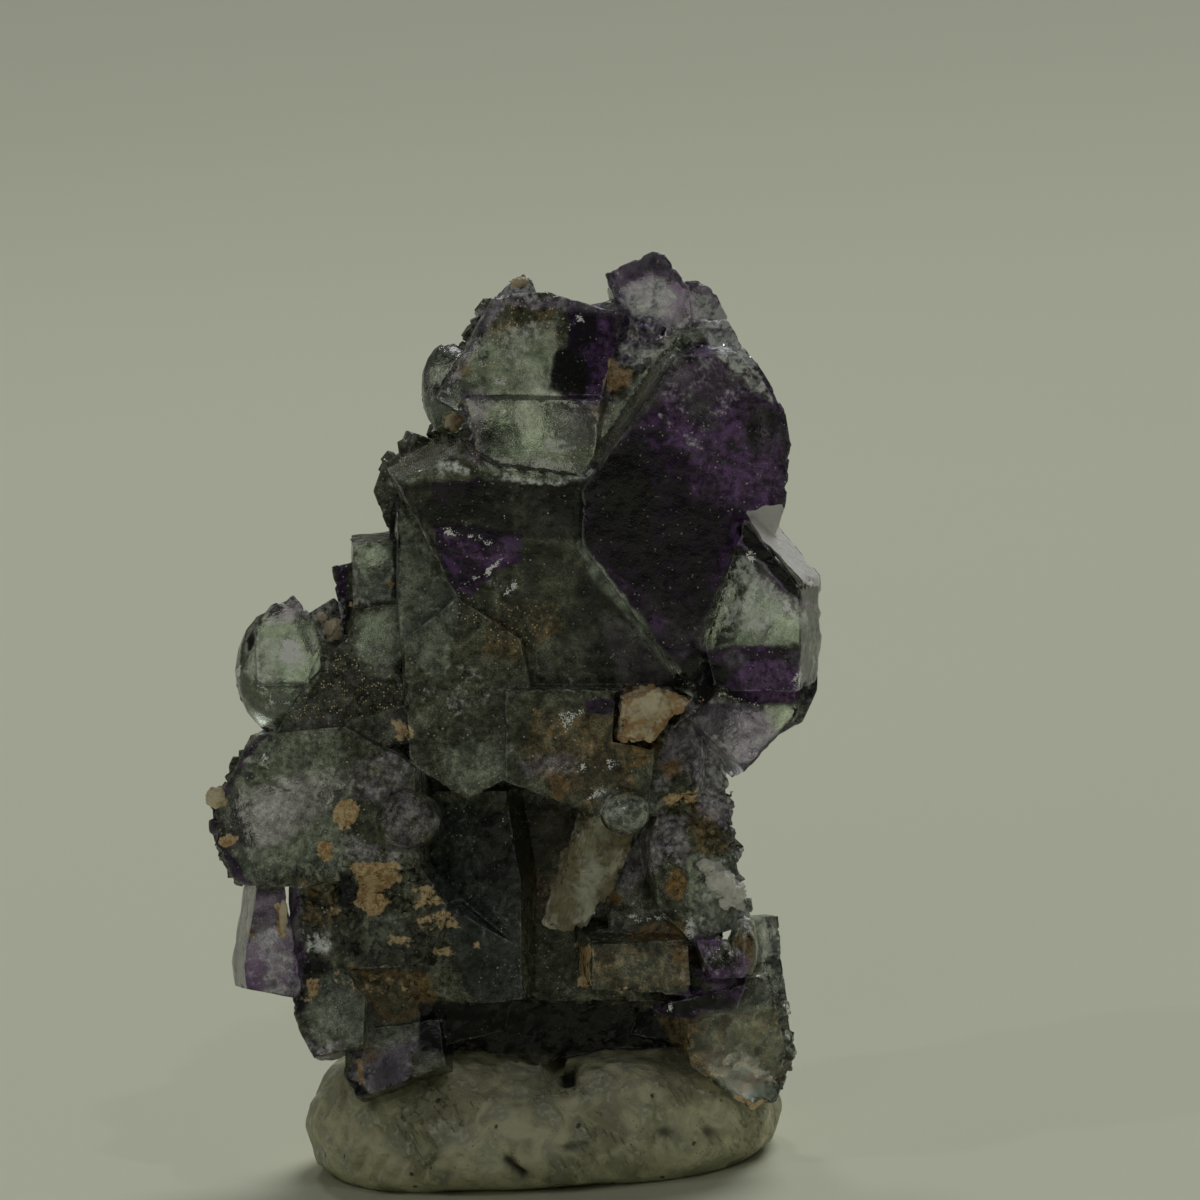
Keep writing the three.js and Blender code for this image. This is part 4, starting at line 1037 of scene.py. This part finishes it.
def makeCrumbs(tree, grains, name, material, seed):
    bm = bmesh.new()
    for x, y, halfAcross, halfUp in grains.values():
        place = hitFrom(tree, x, y)[0]
        if place is None:        # beside the outline: 1 mm before the middle
            place = eye + sightRay(x, y) * (sight["distance"] - 1)
        shape = Matrix.Diagonal((halfAcross, halfUp, 0.8 * min(halfAcross, halfUp), 1))
        made = bmesh.ops.create_icosphere(
            bm, subdivisions=4, radius=1, matrix=Matrix.Translation(place) @ sightTurn @ shape)
        for vert in made["verts"]:
            offset = vert.co - place
            height = 0.28 * facets(vert.co, 0.22) + 0.12 * noise.noise(vert.co / 0.1 + Vector((seed,) * 3))
            vert.co = place + offset * (1 + height)
    bm.normal_update()
    pieceFrom(bm, name, material)


# Small cubes that stand on the rough places, in mm. Those of the front lie in zones of pixels, each
# from a corner to a corner with its share of them.
cubes = {
    "front": 420, "back": 520, "smallest": 0.16, "largest": 0.55, "frontSize": 0.6, "seed": 7,
    "lowest": 4, "highest": 29, "outside": 40, "behind": 0.25, "sunk": 0.15, "bevel": 0.02,
    "rim": 0.2, "groove": 9,
}
cubeZones = {
    "stained mass": (300, 855, 440, 960, 0.30), "right flank": (660, 795, 745, 860, 0.12),
    "saddle": (620, 320, 700, 370, 0.1), "slope": (300, 660, 400, 720, 0.05),
}


def makeSmallCubes(tree, material):
    draw = random.Random(cubes["seed"])
    bm = bmesh.new()
    places = []
    for x1, y1, x2, y2, share in cubeZones.values():
        for _ in range(int(cubes["front"] * share)):
            hit = hitFrom(tree, draw.uniform(x1, x2), draw.uniform(y1, y2))
            places.append((*hit, cubes["frontSize"]))
    for _ in range(cubes["back"]):
        angle = draw.uniform(0, 2 * math.pi)
        outward = Vector((math.cos(angle), math.sin(angle), draw.uniform(-0.2, 0.4)))
        if outward.y < cubes["behind"]:
            continue
        start = outward * cubes["outside"] + Vector((0, 0, draw.uniform(cubes["lowest"], cubes["highest"])))
        place, normal, _, _ = tree.ray_cast(start, -outward.normalized())
        places.append((place, normal, 1))
    for place, normal, most in places:
        if place is None or place.z < cubes["lowest"]:
            continue
        size = draw.uniform(cubes["smallest"], cubes["largest"]) * most
        turn = Matrix.Rotation(draw.uniform(0, math.pi), 4, Vector((draw.random(), draw.random(), 1)))
        root = Matrix.Translation(place - normal * size * cubes["sunk"])
        bmesh.ops.create_cube(bm, size=size, matrix=root @ turn)
    bevel(bm, cubes["bevel"], 1)
    bm.normal_update()
    points, facing = pointsOf(bm)
    # every vertex gets the same crease distances: a little painted highlight from the rim, and no painted
    # crease shade
    rim, groove = [np.full(len(points), cubes[name]) for name in ("rim", "groove")]
    painted = paintAt(points, facing, rim, groove)
    piece = pieceFrom(bm, "small_cubes", material)
    setChannels(piece, painted)


# Floor, light and camera

def setStage():
    stage = {
        "half": 1.5, "below": 0.00002, "floor": (0.62, 0.64, 0.50), "cloudy": (0.5, 0.52, 0.4),
        "world": (0.37, 0.38, 0.31), "worldStrength": 0.2,
    }
    bm = bmesh.new()
    bmesh.ops.create_grid(bm, x_segments=1, y_segments=1, size=stage["half"])
    mesh = bpy.data.meshes.new("floor")
    bm.to_mesh(mesh)
    floor = placed("floor", mesh)
    floor.location.z = -stage["below"]
    finish = Finish("floor_finish")
    color = finish.mixed(finish.cloud(40, 2) * 0.1, stage["floor"], stage["cloudy"])
    mesh.materials.append(finish.done(finish.surface({"Base Color": color, "Roughness": 0.9})))
    world = bpy.data.worlds.new("studio")
    world.use_nodes = True
    background = world.node_tree.nodes["Background"].inputs
    background["Color"].default_value = (*stage["world"], 1)
    background["Strength"].default_value = stage["worldStrength"]
    bpy.context.scene.world = world


# Lamps: places and sizes in metres and watts, but the sun's size is in degrees
lamps = {
    "overhead": {"kind": "SUN", "from": (0.45, 0.7, 1.0), "energy": 1.45, "size": 35},
    "key": {"kind": "AREA", "from": (0.10, -0.22, 0.30), "energy": 0.05, "size": 0.012},
    "sparkle": {"kind": "AREA", "from": (-0.22, -0.10, 0.26), "energy": 0.04, "size": 0.012},
    "rimLight": {"kind": "AREA", "from": (-0.06, 0.24, 0.28), "energy": 0.10, "size": 0.05},
    "window": {"kind": "AREA", "from": (-0.05, -0.24, 0.17), "energy": 0.019, "size": 0.08},
}


def setLamps():
    middle = Vector((0, 0, 0.016))
    for name, lamp in lamps.items():
        data = bpy.data.lights.new(name, lamp["kind"])
        data.energy = lamp["energy"]
        if lamp["kind"] == "SUN":
            data.angle = math.radians(lamp["size"])
        else:
            data.shape = "DISK"
            data.size = lamp["size"]
        light = placed(name, data)
        light.location = lamp["from"]
        light.rotation_euler = (middle - light.location).to_track_quat("-Z", "Y").to_euler()


def setCamera():
    data = bpy.data.cameras.new("camera")
    data.lens = lens
    data.sensor_width = sensor
    data.clip_start = 0.01
    data.clip_end = 10
    camera = placed("camera", data)
    camera.matrix_world = Matrix.Translation(eye * millimetre) @ sightTurn
    bpy.context.scene.camera = camera


bpy.context.scene.view_settings.view_transform = "Standard"
setCamera()
setStage()
setLamps()
print("stage is set")

fluoriteMaterial = fluoriteFinish()
tanMaterial = stoneFinish("tan_finish", (0.80, 0.69, 0.50), (0.62, 0.50, 0.32), (0.42, 0.23, 0.09))
fibres = ((0.6, 0.6, 4.0), (0, 23, 0))
lathMaterial = stoneFinish("lath_finish", (0.62, 0.60, 0.50), (0.34, 0.32, 0.22), (0.24, 0.19, 0.11), fibres)
crustMaterial = stoneFinish("crust_finish", (0.93, 0.91, 0.88), (0.82, 0.80, 0.76), (0.6, 0.57, 0.52))
print("finishes are made")

surfaceTree = makeFluorite(fluoriteMaterial)
makePutty(puttyFinish())
makeStone("pale_lath", "lath", lathMaterial, 1.08, 0.12)
makeStone("tan_wedge", "wedge", tanMaterial, 1.22, 0.1)
makeCrumbs(surfaceTree, crumbs, "tan_crumbs", tanMaterial, 3)
makeCrumbs(surfaceTree, whiteCrust, "white_crust", crustMaterial, 9)
makeSmallCubes(surfaceTree, fluoriteMaterial)
